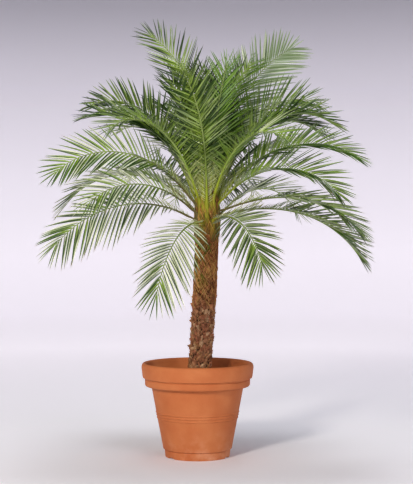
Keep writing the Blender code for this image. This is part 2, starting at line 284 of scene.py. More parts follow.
# %% Studio sweep
FLOOR_RADIUS = 9.0
COVE_RADIUS = 3.0
WALL_TOP = 8.0
SWEEP_SIDES = 96
COVE_STEPS = 12
# The paper's grey high up is painted shade, and its glow is painted light.
PAPER = "F0F0F8"
PAPER_SHADE = "B2B2BA"
PAPER_SHADE_HEIGHTS = (1.6, 5.0)
PAINTED_GLOW = "F6EEF7"
GLOW_NEAR = 0.06
GLOW_LOW = 0.62
GLOW_HIGH = 0.02
GLOW_GROWS = (0.5, 5.0)
GLOW_FADES = (0.6, 3.8)


def build_paper():
    """Pale paper, painted grey high up as shade, with a painted glow that grows away from the plant and
    is brightest low on the wall.
    """
    material, tree, shader, place = new_material("seamless studio paper", PAPER, 0.9, 0.1)
    x, y, height = add(tree, "ShaderNodeSeparateXYZ", {0: place}).outputs
    # Painted shade: the paper greys towards the top of the wall.
    shade_share = add(tree, "ShaderNodeMapRange", {0: height, 1: PAPER_SHADE_HEIGHTS[0], 2: PAPER_SHADE_HEIGHTS[1]})
    paint(tree, shader, linear(PAPER), (shade_share, PAPER_SHADE))
    flat = add(tree, "ShaderNodeCombineXYZ", {0: x, 1: y})
    far = add(tree, "ShaderNodeVectorMath", {0: flat}, operation="LENGTH").outputs["Value"]
    # Painted light: the paper glows, more away from the plant and less up the wall.
    grown = add(tree, "ShaderNodeMapRange", {
        0: far, 1: GLOW_GROWS[0], 2: GLOW_GROWS[1], 3: GLOW_NEAR, 4: GLOW_LOW,
    })
    faded = add(tree, "ShaderNodeMapRange", {
        0: height, 1: GLOW_FADES[0], 2: GLOW_FADES[1], 3: 1.0, 4: GLOW_HIGH / GLOW_LOW,
    })
    glow = add(tree, "ShaderNodeMath", {0: grown, 1: faded}, operation="MULTIPLY")
    shader.inputs["Emission Color"].default_value = linear(PAINTED_GLOW)
    tree.links.new(glow.outputs[0], shader.inputs["Emission Strength"])
    return material


def build_sweep():
    profile = [(FLOOR_RADIUS / 2, 0.0)]
    for step in range(COVE_STEPS + 1):
        turn = 90 * step / COVE_STEPS
        radius = FLOOR_RADIUS + COVE_RADIUS * sine(turn)
        profile.append((radius, COVE_RADIUS * (1 - cosine(turn))))
    profile.append((FLOOR_RADIUS + COVE_RADIUS, WALL_TOP))
    points = [Vector((0, 0, 0))]
    for radius, height in profile:
        points += circle(radius, height, SWEEP_SIDES)
    faces = disc_faces(SWEEP_SIDES, len(profile))
    sweep = new_object("studio_sweep", points, faces=faces, materials=[build_paper()])
    sweep.data.shade_smooth()
    print("studio sweep:", len(faces), "faces")


build_sweep()

# %% Lights
LIGHTS = (
    # name, place, aimed at, size, watts, colour
    ("key", (-2.3, -5.2, 3.0), (0.0, 0.0, 0.9), 1.0, 255, "FFF6E8"),
    ("fill", (3.2, -4.9, 1.6), (0.0, 0.0, 0.7), 2.6, 76, "F4F4FF"),
    ("top", (0.3, 0.9, 4.6), (0.0, 0.0, 1.2), 1.8, 75, "FFFFFF"),
)
SKY_COLOUR = "E4E4E2"
SKY_STRENGTH = 0.12


def build_light(name, place, aim, size, watts, colour):
    data = bpy.data.lights.new(name, "AREA")
    data.shape = "DISK"
    data.size = size
    data.energy = watts
    data.color = linear(colour)[:3]
    light = scene_object(name, data)
    light.location = place
    light.rotation_mode = "QUATERNION"
    light.rotation_quaternion = (Vector(aim) - Vector(place)).to_track_quat("-Z", "Y")
    print(f"{name} light: {watts} W, {size} m wide")


for light in LIGHTS:
    build_light(*light)
sky = bpy.data.worlds.new("studio air")
sky.use_nodes = True
background = sky.node_tree.nodes["Background"].inputs
background["Color"].default_value = linear(SKY_COLOUR)
background["Strength"].default_value = SKY_STRENGTH
bpy.context.scene.world = sky
bpy.context.scene.view_settings.view_transform = "Standard"

# %% [markdown]
# ## The pot
# A clay pot is thrown or pressed in a turning mould, so its whole shape is one section turned about
# its axis. The section has the rounded lip, the bead under it, three thin ribs and a foot that steps
# in. Spinning a profile of points is the shortest way to such a shape. The three drainage notches in
# the lower edge of the foot are pushed up out of the turned mesh.

# %% Sizes of the pot
POT_HEIGHT = 0.386
POT_FOOT_RADIUS = 0.133
POT_SHOULDER_RADIUS = 0.190
POT_RIM_RADIUS = 0.231
POT_WALL = 0.013
POT_FLOOR = 0.020
FOOT_BAND_HEIGHT = 0.034
FOOT_BAND_FLARE = 0.0025
WALL_STEP = 0.0085
SHOULDER_HEIGHT = 0.290
BEAD_RADIUS = 0.217
BEAD_ROUND = 0.010
BEAD_TOP = 0.319
RIM_BOTTOM = 0.325
RIM_FLARE = 0.005
RIM_THICKNESS = 0.022
RIM_ROUND = 0.020
RIB_HEIGHTS = (0.161, 0.173, 0.184)
RIB_RELIEF = 0.0024
RIB_HALF_WIDTH = 0.005
NOTCH_BEARINGS = (216, 336, 96)
NOTCH_WIDTH = 0.030
NOTCH_REACH = 0.010
NOTCH_HEIGHT = 0.006
POT_SIDES = 180
SMALL_ROUND = 0.003
RIM_WIDEST_FROM = 0.345
RIM_INSIDE_TO = 0.362
LIP_STEPS = 15


# %% The pot's section
def arc(centre, radius, start, end, steps):
    """Points on an arc of the section, from one angle to another."""
    turns = [blend(start, end, step / steps) for step in range(steps + 1)]
    return [(centre[0] + radius * cosine(t), centre[1] + radius * sine(t)) for t in turns]


def wall_radius(height):
    share = (height - FOOT_BAND_HEIGHT) / (SHOULDER_HEIGHT - FOOT_BAND_HEIGHT)
    return blend(POT_FOOT_RADIUS + WALL_STEP, POT_SHOULDER_RADIUS, share)


def inner_radius(height):
    return wall_radius(height) - POT_WALL


def rib_relief(height):
    """How far the nearest thin rib stands out at a height."""
    away = min(abs(height - middle) for middle in RIB_HEIGHTS)
    return RIB_RELIEF * cosine(90 * limited(away / RIB_HALF_WIDTH)) ** 2


def foot_section():
    band = POT_FOOT_RADIUS + FOOT_BAND_FLARE
    bare = POT_FOOT_RADIUS - NOTCH_REACH
    flat = [(0.0, 0.0), (0.04, 0.0), (0.08, 0.0), (bare - 0.002, 0.0), (bare, 0.0), (bare + 0.004, 0.0)]
    lower = arc((POT_FOOT_RADIUS - SMALL_ROUND, SMALL_ROUND), SMALL_ROUND, -90, 0, 5)
    plain = [(blend(POT_FOOT_RADIUS, band, h / 0.030), h) for h in (0.005, 0.007, 0.012, 0.020)]
    upper = arc((band - SMALL_ROUND, FOOT_BAND_HEIGHT - 2 * SMALL_ROUND), SMALL_ROUND, 0, 60, 4)
    step = wall_radius(FOOT_BAND_HEIGHT + SMALL_ROUND)
    groove = [(band - 0.0010, FOOT_BAND_HEIGHT - 0.0022), (step - 0.0035, FOOT_BAND_HEIGHT - 0.0008)]
    outer = arc((step - SMALL_ROUND, FOOT_BAND_HEIGHT + SMALL_ROUND - 0.0005), SMALL_ROUND, -75, 0, 4)
    return flat + lower + plain + upper + groove + outer


def wall_section():
    heights = [0.05, 0.08, 0.11, 0.14, 0.152]
    first, last = RIB_HEIGHTS[0] - RIB_HALF_WIDTH, RIB_HEIGHTS[-1] + RIB_HALF_WIDTH
    heights += [blend(first, last, i / 40) for i in range(41)]
    heights += [0.20, 0.23, 0.26, 0.28]
    return [(wall_radius(h) + rib_relief(h), h) for h in heights]


def shoulder_section():
    fillet = (POT_SHOULDER_RADIUS + 0.003, SHOULDER_HEIGHT - 0.003)
    inner = arc(fillet, 0.003, 180, 90, 4)
    bead = arc((BEAD_RADIUS - BEAD_ROUND, SHOULDER_HEIGHT + BEAD_ROUND), BEAD_ROUND, -90, 0, 8)
    top = arc((BEAD_RADIUS - SMALL_ROUND, BEAD_TOP - SMALL_ROUND), SMALL_ROUND, 0, 75, 4)
    return inner + bead + top


def rim_section():
    foot = POT_RIM_RADIUS - RIM_FLARE
    groove = [(BEAD_RADIUS - 0.001, RIM_BOTTOM - 0.004), (BEAD_RADIUS + 0.0005, RIM_BOTTOM - 0.001)]
    lower = arc((foot - SMALL_ROUND, RIM_BOTTOM + SMALL_ROUND), SMALL_ROUND, -80, 0, 5)
    outer = [(POT_RIM_RADIUS - 0.0025, RIM_WIDEST_FROM), (POT_RIM_RADIUS, POT_HEIGHT - RIM_ROUND)]
    lip = []
    middle = POT_RIM_RADIUS - RIM_THICKNESS / 2
    for step in range(1, LIP_STEPS):
        turn = 180 * step / LIP_STEPS
        height = POT_HEIGHT - RIM_ROUND + RIM_ROUND * sine(turn) ** 0.8
        lip.append((middle + RIM_THICKNESS / 2 * cosine(turn), height))
    inner = POT_RIM_RADIUS - RIM_THICKNESS
    inside = [(inner, POT_HEIGHT - 0.8 * RIM_ROUND), (inner - 0.001, POT_HEIGHT - 1.1 * RIM_ROUND)]
    down = [
        (blend(inner - 0.001, inner_radius(RIM_BOTTOM), s), blend(RIM_INSIDE_TO, RIM_BOTTOM, s))
        for s in (0.5, 1)
    ]
    floor = [(inner_radius(POT_FLOOR), POT_FLOOR), (0.0, POT_FLOOR)]
    return groove + lower + outer + lip + inside + down + floor


def turned(profile, sides):
    """A closed mesh turned about Z from a (radius, height) profile that starts and ends on the axis."""
    bm = bmesh.new()
    verts = [bm.verts.new((radius, 0, height)) for radius, height in profile]
    edges = [bm.edges.new(pair) for pair in zip(verts, verts[1:])]
    bmesh.ops.spin(
        bm, geom=verts + edges, axis=(0, 0, 1), cent=(0, 0, 0),
        angle=math.tau, steps=sides, use_merge=True,
    )
    bmesh.ops.remove_doubles(bm, verts=bm.verts, dist=1e-5)
    bmesh.ops.recalc_face_normals(bm, faces=bm.faces)
    return bm


def press_notches(bm):
    """Pushes the underside up in the three drainage notches."""
    for vert in bm.verts:
        radius = math.hypot(vert.co.x, vert.co.y)
        if radius < POT_FOOT_RADIUS - NOTCH_REACH or vert.co.z > NOTCH_HEIGHT + 0.001:
            continue
        bearing = math.degrees(math.atan2(vert.co.y, vert.co.x))
        for notch in NOTCH_BEARINGS:
            away = abs((bearing - notch + 180) % 360 - 180)
            across = radius * sine(away)
            if away < 90 and across < NOTCH_WIDTH / 2:
                vert.co.z = max(vert.co.z, NOTCH_HEIGHT)


# %% [markdown]
# ### Fired clay
# Terracotta is unglazed, so it is matt and slightly rough to the eye. Its orange is uneven: the kiln
# leaves paler and darker patches about 110 mm wide, fine grog gives speckles under a millimetre, and
# watering leaves a faint pale bloom in clouds of 45 mm low on the wall. Turning leaves fine level
# lines about 2 mm apart. The speckles are drawn at 2.5 mm here because finer ones are lost at the
# size of the picture.

# %% Terracotta
CLAY_PATCH_MM = 111
CLAY_SPECK_MM = 2.5
CLAY_BLOOM_MM = 45.5
# A wave pattern has a line at every tau / 20 units, so this scale sets them 2 mm apart.
CLAY_LINES = 160.0


def build_terracotta():
    material, tree, shader, place = new_material("terracotta", "B8693A", 0.78, 0.35)
    patches = add(tree, "ShaderNodeTexNoise", {
        "Vector": place, "Scale": per_metre(CLAY_PATCH_MM), "Detail": 4.0,
    })
    broad = add(
        tree, "ShaderNodeValToRGB", {0: patches}, stops=((0.32, "B06032"), (0.72, "BE7242"))
    )
    grog = add(tree, "ShaderNodeTexNoise", {
        "Vector": place, "Scale": per_metre(CLAY_SPECK_MM), "Detail": 2.0,
    })
    speckle = add(tree, "ShaderNodeMapRange", {0: grog, 1: 0.60, 2: 0.74, 3: 0.0, 4: 0.35})
    height = add(tree, "ShaderNodeSeparateXYZ", {0: place}).outputs["Z"]
    low = add(tree, "ShaderNodeMapRange", {0: height, 1: 0.0, 2: 0.13, 3: 1.0, 4: 0.0})
    cloud = add(tree, "ShaderNodeTexNoise", {
        "Vector": place, "Scale": per_metre(CLAY_BLOOM_MM), "Detail": 5.0,
    })
    cloudy = add(tree, "ShaderNodeMapRange", {0: cloud, 1: 0.45, 2: 0.75, 3: 0.0, 4: 0.5})
    bloom = add(tree, "ShaderNodeMath", {0: low, 1: cloudy}, operation="MULTIPLY")
    paint(tree, shader, broad.outputs["Color"], (speckle, "8E4A2A"), (bloom, "D9A582"))
    rings = add(tree, "ShaderNodeTexWave", {
        "Vector": place, "Scale": CLAY_LINES, "Distortion": 1.5, "Detail": 2.0,
    }, bands_direction="Z")
    ringed = add(tree, "ShaderNodeBump", {
        "Strength": 0.10, "Distance": 0.0004, "Height": rings.outputs["Fac"],
    })
    grain = add(tree, "ShaderNodeBump", {
        "Strength": 0.25, "Distance": 0.0004, "Height": grog, "Normal": ringed,
    })
    tree.links.new(grain.outputs["Normal"], shader.inputs["Normal"])
    return material


def build_pot():
    bm = turned(foot_section() + wall_section() + shoulder_section() + rim_section(), POT_SIDES)
    press_notches(bm)
    mesh = bpy.data.meshes.new("clay_pot")
    bm.to_mesh(mesh)
    bm.free()
    mesh.materials.append(build_terracotta())
    mesh.shade_smooth()
    mesh.set_sharp_from_angle(angle=math.radians(50))
    settle(scene_object("clay_pot", mesh), "terracotta", "pot")


build_pot()

# %% [markdown]
# ## The potting mix
# The pot is filled to 70 mm below its rim with dark mix and bark chips. Its surface is uneven, so the
# disc of points is raised and sunk by noise, and a node tree scatters chips over the top face. Moist
# composted bark soaks up light: it is nearly black, crumbly and matt, and only dry chips are paler.
# Its crumbs are drawn 5.5 mm wide because real ones, of 1 or 2 mm, are lost in the picture.

# %% Potting mix
SOIL_TOP = 0.316
GAP = 0.0003
SOIL_RINGS = 34
SOIL_SIDES = 110
SOIL_BUMPS = 0.005
SOIL_NOISES = ((28, 1.0), (90, 0.5))
SOIL_EDGE_FADE = 8
CRUMB_MM = 5.55


def build_dark_mix(name, colour, pale):
    material, tree, shader, place = new_material(name, colour, 0.92, 0.25)
    crumbs = add(tree, "ShaderNodeTexNoise", {
        "Vector": place, "Scale": per_metre(CRUMB_MM), "Detail": 5.0,
    })
    ramp = add(tree, "ShaderNodeValToRGB", {0: crumbs}, stops=((0.35, colour), (0.78, pale)))
    paint(tree, shader, ramp.outputs["Color"])
    rough = add(tree, "ShaderNodeBump", {"Strength": 0.8, "Distance": 0.002, "Height": crumbs})
    tree.links.new(rough.outputs["Normal"], shader.inputs["Normal"])
    return material


def soil_object(mix):
    reach = inner_radius(SOIL_TOP) - 2 * GAP
    points = [Vector((0, 0, SOIL_TOP))]
    for ring in range(1, SOIL_RINGS + 1):
        for place in circle(reach * ring / SOIL_RINGS, SOIL_TOP, SOIL_SIDES):
            rough = sum(weight * noise.noise(place * scale) for scale, weight in SOIL_NOISES)
            place.z += SOIL_BUMPS * rough * limited((1 - ring / SOIL_RINGS) * SOIL_EDGE_FADE)
            points.append(place)
    faces = disc_faces(SOIL_SIDES, SOIL_RINGS + 1)
    faces.append(tuple(reversed(range(len(points), len(points) + SOIL_SIDES))))
    points += circle(inner_radius(POT_FLOOR) - 2 * GAP, POT_FLOOR + GAP, SOIL_SIDES)
    soil = new_object("potting_mix_fill", points, faces=faces, materials=[mix])
    soil.data.shade_smooth()
    return soil


# %% Bark chips
CHIPS_PER_SQUARE_METRE = 9000
CHIP_SIZES = (0.003, 0.009)
CHIP_TILT = 0.5
CHIPS_ABOVE = SOIL_TOP - 0.01
PALE_CHIPS_ABOVE = 0.7
CHIP_CORNERS = (
    (-1.0, -0.5, -0.2), (1.0, -0.6, -0.2), (0.8, 0.5, -0.15), (-0.9, 0.6, -0.2),
    (-0.8, -0.4, 0.2), (0.7, -0.5, 0.12), (0.9, 0.4, 0.2), (-0.7, 0.4, 0.1),
)
CHIP_FACES = ((3, 2, 1, 0), (4, 5, 6, 7), (0, 1, 5, 4), (1, 2, 6, 5), (2, 3, 7, 6), (3, 0, 4, 7))


def chip_tree():
    """Chips scattered on the upward faces of the start object, outside the trunk."""
    tree, given = new_tree("chips on the mix", {
        "Chip": "Object", "Above": "Float", "Density": "Float", "Smallest": "Float", "Largest": "Float",
        "Dark": "Material", "Pale": "Material",
    })
    place = add(tree, "ShaderNodeSeparateXYZ", {0: add(tree, "GeometryNodeInputPosition")})
    upward = add(tree, "FunctionNodeCompare", {0: place.outputs["Z"], 1: given["Above"]})
    spots = add(tree, "GeometryNodeDistributePointsOnFaces", {
        "Mesh": given["Geometry"], "Selection": upward, "Density": given["Density"], "Seed": 3,
    })
    chip = add(tree, "GeometryNodeObjectInfo", {"Object": given["Chip"]})
    size = add(tree, "FunctionNodeRandomValue", {
        "Min": given["Smallest"], "Max": given["Largest"], "Seed": 5,
    })
    turn = add(tree, "FunctionNodeRandomValue", {
        "Min": (-CHIP_TILT, -CHIP_TILT, 0.0), "Max": (CHIP_TILT, CHIP_TILT, math.tau), "Seed": 7,
    }, data_type="FLOAT_VECTOR")
    toned = add(tree, "GeometryNodeStoreNamedAttribute", {
        "Geometry": spots.outputs["Points"], "Name": "tone",
        "Value": add(tree, "FunctionNodeRandomValue", {"Seed": 9}),
    })
    chips = add(tree, "GeometryNodeInstanceOnPoints", {
        "Points": toned, "Instance": chip.outputs["Geometry"], "Rotation": turn, "Scale": size,
    })
    real = add(tree, "GeometryNodeRealizeInstances", {0: chips})
    dark = add(tree, "GeometryNodeSetMaterial", {"Geometry": real, "Material": given["Dark"]})
    last = dealt_materials(tree, given, dark, (("Pale", "GREATER_THAN", PALE_CHIPS_ABOVE),))
    add(tree, "NodeGroupOutput", {0: last})
    return tree


def build_soil():
    mix = build_dark_mix("potting mix", "2E2018", "57402E")
    dark = build_dark_mix("wet bark chip", "3B2618", "5D3F28")
    pale = build_dark_mix("dry bark chip", "6B4A30", "8E6A48")
    soil = soil_object(mix)
    chip = new_object("chip", CHIP_CORNERS, faces=CHIP_FACES, materials=[dark])
    chips = made_by(chip_tree(), "bark_chips", soil, {
        "Chip": chip, "Above": CHIPS_ABOVE, "Density": CHIPS_PER_SQUARE_METRE,
        "Smallest": CHIP_SIZES[0], "Largest": CHIP_SIZES[1], "Dark": dark, "Pale": pale,
    })
    bpy.data.objects.remove(chip)
    settle(soil, "potting_mix", "potting_mix")
    settle(chips, "potting_mix")


build_soil()

# %% [markdown]
# ## The trunk
# A date palm has no bark. Its trunk is wrapped in what is left of the old leaves: woody stubs low
# down, where the leaves fell long ago, and reddish fibre higher up, where their bases still hold. A
# smooth core carries both. Stubs and fibres are laid out flat, by their way round and up the trunk,
# and then one node group wraps the flat sheet round the leaning core. That keeps the spiral simple.

# %% Sizes of the trunk
TRUNK_RADIUS = 0.0475
ROOT_FLARE = 0.010
ROOT_FLARE_HEIGHT = 0.030
TRUNK_FOOT_X = 0.004
TRUNK_OFFSET = 0.036
LEAN_POWER = 1.5
LEAN_END = 0.955
HEAD_START = 0.985
HEAD_HEIGHT = 0.140
CORE_BOTTOM = 0.306
CORE_TOP = 1.118
CORE_SUNK = 0.0065
CORE_SIDES = 84
CORE_RINGS = 210
FIBRES_FROM = 0.640
FIBRES_FADE = 0.050
BARK_FADE = 0.060


# %% The rule of the trunk
def trunk_axis(height):
    """Middle of the trunk at a height: it leans at first and comes upright below its head."""
    share = limited((height - SOIL_TOP) / (LEAN_END - SOIL_TOP))
    offset = TRUNK_OFFSET * (1 - (1 - share) ** LEAN_POWER)
    return Vector((TRUNK_FOOT_X + offset, 0, height))


def trunk_girth(height):
    """Radius of the trunk, with the flare at its foot and its egg-shaped head."""
    if height > HEAD_START:
        return TRUNK_RADIUS * math.sqrt(max(0.0, 1 - ((height - HEAD_START) / HEAD_HEIGHT) ** 2))
    flare = ROOT_FLARE * max(0.0, 1 - (height - SOIL_TOP) / ROOT_FLARE_HEIGHT) ** 2
    return TRUNK_RADIUS + min(flare, ROOT_FLARE)


def head_point(seat):
    """(radius, height) of a seat on the trunk's head, at a share of the way up it."""
    angle = math.asin(limited(seat))
    return TRUNK_RADIUS * math.cos(angle), HEAD_START + HEAD_HEIGHT * seat


# %% [markdown]
# ### Old wood and fibre
# Weathered palm stubs are dull brown and dry, with paler cut ends. The fibre higher up is younger and
# more orange. Both are rough and matt. Each colour goes from a low one to a high one with height, and
# streaks of noise pulled out along the trunk stand for fibres too thin to model. Real ones are half a
# millimetre thick and are drawn 3 mm wide and 17 mm long, so that the picture can show them. Lumps of
# 14 mm break them up.

# %% Barks
BARK_STREAK_MM = 3.125
BARK_LUMP_MM = 14.3
BARK_PULL = 0.18


def build_bark(name, low_colour, high_colour, dark_colour):
    material, tree, shader, place = new_material(name, low_colour, 0.9, 0.2)
    height = add(tree, "ShaderNodeSeparateXYZ", {0: place}).outputs["Z"]
    high = add(tree, "ShaderNodeMapRange", {
        0: height, 1: FIBRES_FROM - BARK_FADE, 2: FIBRES_FROM + BARK_FADE,
    })
    pulled = add(tree, "ShaderNodeMapping", {"Vector": place, "Scale": (1.0, 1.0, BARK_PULL)})
    streaks = add(tree, "ShaderNodeTexNoise", {
        "Vector": pulled, "Scale": per_metre(BARK_STREAK_MM), "Detail": 4.0,
    })
    lumps = add(tree, "ShaderNodeTexNoise", {
        "Vector": place, "Scale": per_metre(BARK_LUMP_MM), "Detail": 3.0,
    })
    both = add(tree, "ShaderNodeMath", {0: streaks, 1: lumps}, operation="MULTIPLY")
    shade = add(tree, "ShaderNodeMapRange", {0: both, 1: 0.16, 2: 0.34, 3: 0.85, 4: 0.0})
    paint(tree, shader, linear(low_colour), (high, high_colour), (shade, dark_colour))
    rough = add(tree, "ShaderNodeBump", {"Strength": 0.7, "Distance": 0.0015, "Height": streaks})
    tree.links.new(rough.outputs["Normal"], shader.inputs["Normal"])
    return material


core_bark = build_bark("palm trunk core", "4E3422", "84502A", "2A190E")
stub_bark = build_bark("weathered leaf stub", "AE7C58", "CA8A5A", "64402A")
red_stub = build_bark("reddish leaf stub", "A86C4E", "C27E52", "5A3822")
stub_end = build_bark("cut end of a leaf stub", "C6A07A", "C0905E", "7C5A3C")
fibre_red = build_bark("reddish palm fibre", "C07A4A", "C07848", "744628")
fibre_tan = build_bark("tan palm fibre", "CCA468", "D2A45E", "98703A")
strap_olive = build_bark("olive leaf sheath", "7E6E28", "7E6E28", "4A3E18")
strap_green = build_bark("green leaf sheath", "6E7E24", "6E7E24", "3E4A18")
fibre_dark = build_bark("dark palm fibre", "62401F", "663E20", "341E10")
print("materials so far:", len(bpy.data.materials))


# %% Core of the trunk
KNOBS_ROUND = 2
KNOBS_UP = 30
KNOB_NOISES = ((2.3, 0.0009), (6.1, 0.0006))
FOLD_RELIEF = 0.0008
FOLDS_ROUND = 9
FOLD_SLANT = 190
LEAST_CORE_RADIUS = 0.004


def core_relief(height, turn):
    """Relief of the core in metres: knobs of old leaf bases low down, slanting folds higher up."""
    place = Vector((cosine(turn) * KNOBS_ROUND, sine(turn) * KNOBS_ROUND, height * KNOBS_UP))
    rough = sum(depth * noise.noise(place * scale) for scale, depth in KNOB_NOISES)
    folds = FOLD_RELIEF * math.sin(math.radians(turn * FOLDS_ROUND) + height * FOLD_SLANT)
    upper = limited((height - FIBRES_FROM) / FIBRES_FADE)
    return rough + folds * upper - CORE_SUNK * (1 - 0.5 * upper)


def build_core():
    points = []
    for ring in range(CORE_RINGS + 1):
        height = blend(CORE_BOTTOM, CORE_TOP, ring / CORE_RINGS)
        middle = trunk_axis(height)
        for side in range(CORE_SIDES):
            turn = 360 * side / CORE_SIDES
            radius = max(LEAST_CORE_RADIUS, trunk_girth(height) + core_relief(height, turn))
            points.append(middle + Vector((cosine(turn), sine(turn), 0)) * radius)
    faces = tube_faces(0, CORE_SIDES, CORE_RINGS + 1)
    core = new_object("trunk_core", points, faces=faces, materials=[core_bark])
    core.data.shade_smooth()
    settle(core, "palm_bark", "trunk")
    return core


trunk_core = build_core()


# %% The line that stubs and fibres are wrapped round
AXIS_STEPS = 160


def build_axis_line():
    heights = [blend(CORE_BOTTOM, CORE_TOP, i / AXIS_STEPS) for i in range(AXIS_STEPS + 1)]
    points = [trunk_axis(height) for height in heights]
    edges = [(i, i + 1) for i in range(AXIS_STEPS)]
    return new_object("axis_line", points, edges, marks={"girth": [trunk_girth(h) for h in heights]})


axis_line = build_axis_line()
start_point = new_object("start_point", [Vector((0, 0, 0))])


def wrap_tree():
    """Wraps a flat sheet round the trunk: X goes round it, Y stands out from it and Z goes up."""
    tree, given = new_tree("wrap round the trunk", {"Axis": "Object"})
    flat = add(tree, "ShaderNodeSeparateXYZ", {0: add(tree, "GeometryNodeInputPosition")})
    line = add(tree, "GeometryNodeMeshToCurve", {
        0: add(tree, "GeometryNodeObjectInfo", {"Object": given["Axis"]}).outputs["Geometry"],
    })
    up = add(tree, "ShaderNodeMapRange", {0: flat.outputs["Z"], 1: CORE_BOTTOM, 2: CORE_TOP})
    girth = add(tree, "GeometryNodeInputNamedAttribute", {"Name": "girth"})
    there = add(tree, "GeometryNodeSampleCurve", {
        "Curves": line, "Value": girth, "Factor": up,
    })
    turn = add(tree, "ShaderNodeMath", {0: flat.outputs["X"], 1: -TRUNK_RADIUS}, operation="DIVIDE")
    out = add(tree, "ShaderNodeMath", {0: there.outputs["Value"], 1: flat.outputs["Y"]})
    arm = add(tree, "ShaderNodeCombineXYZ", {0: out})
    turned_arm = add(tree, "ShaderNodeVectorRotate", {
        "Vector": arm, "Angle": turn,
    }, rotation_type="Z_AXIS")
    middle = add(tree, "ShaderNodeSeparateXYZ", {0: there.outputs["Position"]})
    centre = add(tree, "ShaderNodeCombineXYZ", {
        0: middle.outputs["X"], 1: middle.outputs["Y"], 2: flat.outputs["Z"],
    })
    place = add(tree, "ShaderNodeVectorMath", {0: centre, 1: turned_arm})
    moved = add(tree, "GeometryNodeSetPosition", {"Geometry": given["Geometry"], "Position": place})
    add(tree, "NodeGroupOutput", {0: moved})
    return tree


wrap = wrap_tree()
print("nodes that wrap a sheet round the trunk:", len(wrap.nodes))

# %% [markdown]
# ### Leaf stubs
# Palms set each leaf 137.5 degrees round from the last, so the stubs make the spirals of a pine cone.
# The tree numbers its points, moves each one on by that angle and a small rise, and sets one stub of
# a few faces on it. Random turns and sizes take the machine-made look away. It runs twice, for a
# close coat of stubs and for a few that stand further out. Most are weathered, some are reddish and
# a few have dried pale.

# %% Leaf stubs
STUBS_START = 0.318
STUBS_RISE = 0.350
STUB_WIDTH = 0.025
STUB_HEIGHT = 0.025
STUB_PROUD = 0.0105
STUB_BACK = 0.6
STUB_SHAKE = 0.0025
STUB_TURNS = ((-0.35, -0.50, -0.30), (0.20, 0.50, 0.30))
STUB_SIZES = ((0.60, 0.65, 0.65), (1.10, 1.20, 1.20))
RED_STUBS_BELOW = 0.40
DRY_STUBS_ABOVE = 0.90
GOLDEN_ANGLE = 137.5
STUB_OUTLINE = (
    # share of height, share of width, share of proudness
    (-0.70, 0.30, 0.05),
    (-0.25, 0.95, 0.35),
    (0.15, 0.90, 0.75),
    (0.45, 0.62, 1.00),
    (0.40, 0.35, 0.60),
)
STUB_ARC = ((1.0, -0.5), (0.70, 0.50), (0.05, 1.0), (-0.55, 0.62), (-1.0, -0.5), (0.0, -0.9))


def build_stub_pattern():
    """One stub, laid flat: wide and proud at its top edge, where the old leaf broke off."""
    points = []
    for up, wide, proud in STUB_OUTLINE:
        for x, y in STUB_ARC:
            out = y * proud if y > 0 else y * STUB_BACK
            points.append(Vector((x * wide * STUB_WIDTH / 2, out * STUB_PROUD, up * STUB_HEIGHT)))
    sides = len(STUB_ARC)
    faces = tube_faces(0, sides, len(STUB_OUTLINE))
    stub = new_object("stub_pattern", points, faces=faces, materials=[stub_bark, stub_end])
    for number, face in enumerate(stub.data.polygons):
        broken_off = number >= sides * (len(STUB_OUTLINE) - 2) and number != len(faces) - 2
        face.material_index = 1 if broken_off else 0
    return stub


def stub_tree():
    """Stubs on the spiral of old leaves, wrapped round the trunk."""
    tree, given = new_tree("stubs on a spiral", {
        "Axis": "Object", "Stub": "Object", "Count": "Int", "Start": "Float", "Rise": "Float",
        "Proud": "Float", "Red": "Material", "Dry": "Material",
    })
    number = add(tree, "GeometryNodeInputIndex")
    turns = add(tree, "ShaderNodeMath", {0: number, 1: GOLDEN_ANGLE / 360}, operation="MULTIPLY")
    part = add(tree, "ShaderNodeMath", {0: turns}, operation="FRACT")
    along = add(tree, "ShaderNodeMath", {0: part, 1: math.tau * TRUNK_RADIUS}, operation="MULTIPLY")
    share = add(tree, "ShaderNodeMath", {0: number, 1: given["Count"]}, operation="DIVIDE")
    rise = add(tree, "ShaderNodeMath", {
        0: share, 1: given["Rise"], 2: given["Start"],
    }, operation="MULTIPLY_ADD")
    place = add(tree, "ShaderNodeCombineXYZ", {0: along, 1: given["Proud"], 2: rise})
    shake, turn, size = [
        add(tree, "FunctionNodeRandomValue", {
            "Min": least, "Max": most, "Seed": seed,
        }, data_type="FLOAT_VECTOR")
        for seed, (least, most) in (
            (21, ((-STUB_SHAKE,) * 3, (STUB_SHAKE,) * 3)), (22, STUB_TURNS), (23, STUB_SIZES),
        )
    ]
    shaken = add(tree, "ShaderNodeVectorMath", {0: place, 1: shake})
    toned = add(tree, "GeometryNodeStoreNamedAttribute", {
        "Geometry": add(tree, "GeometryNodePoints", {"Count": given["Count"], "Position": shaken}),
        "Name": "tone", "Value": add(tree, "FunctionNodeRandomValue", {"Seed": 24}),
    })
    stub = add(tree, "GeometryNodeObjectInfo", {"Object": given["Stub"]})
    stubs = add(tree, "GeometryNodeInstanceOnPoints", {
        "Points": toned, "Instance": stub.outputs["Geometry"], "Rotation": turn, "Scale": size,
    })
    real = add(tree, "GeometryNodeRealizeInstances", {0: stubs})
    wrapped = add(tree, "GeometryNodeGroup", {"Geometry": real, "Axis": given["Axis"]}, node_tree=wrap)
    last = dealt_materials(tree, given, wrapped, (
        ("Red", "LESS_THAN", RED_STUBS_BELOW), ("Dry", "GREATER_THAN", DRY_STUBS_ABOVE),
    ))
    add(tree, "NodeGroupOutput", {0: last})
    return tree


# %% Both sets of stubs
STUB_SETS = (
    # name, count, proud
    ("leaf_stubs", 400, -0.0075),
    ("proud_stubs", 44, -0.0030),
)


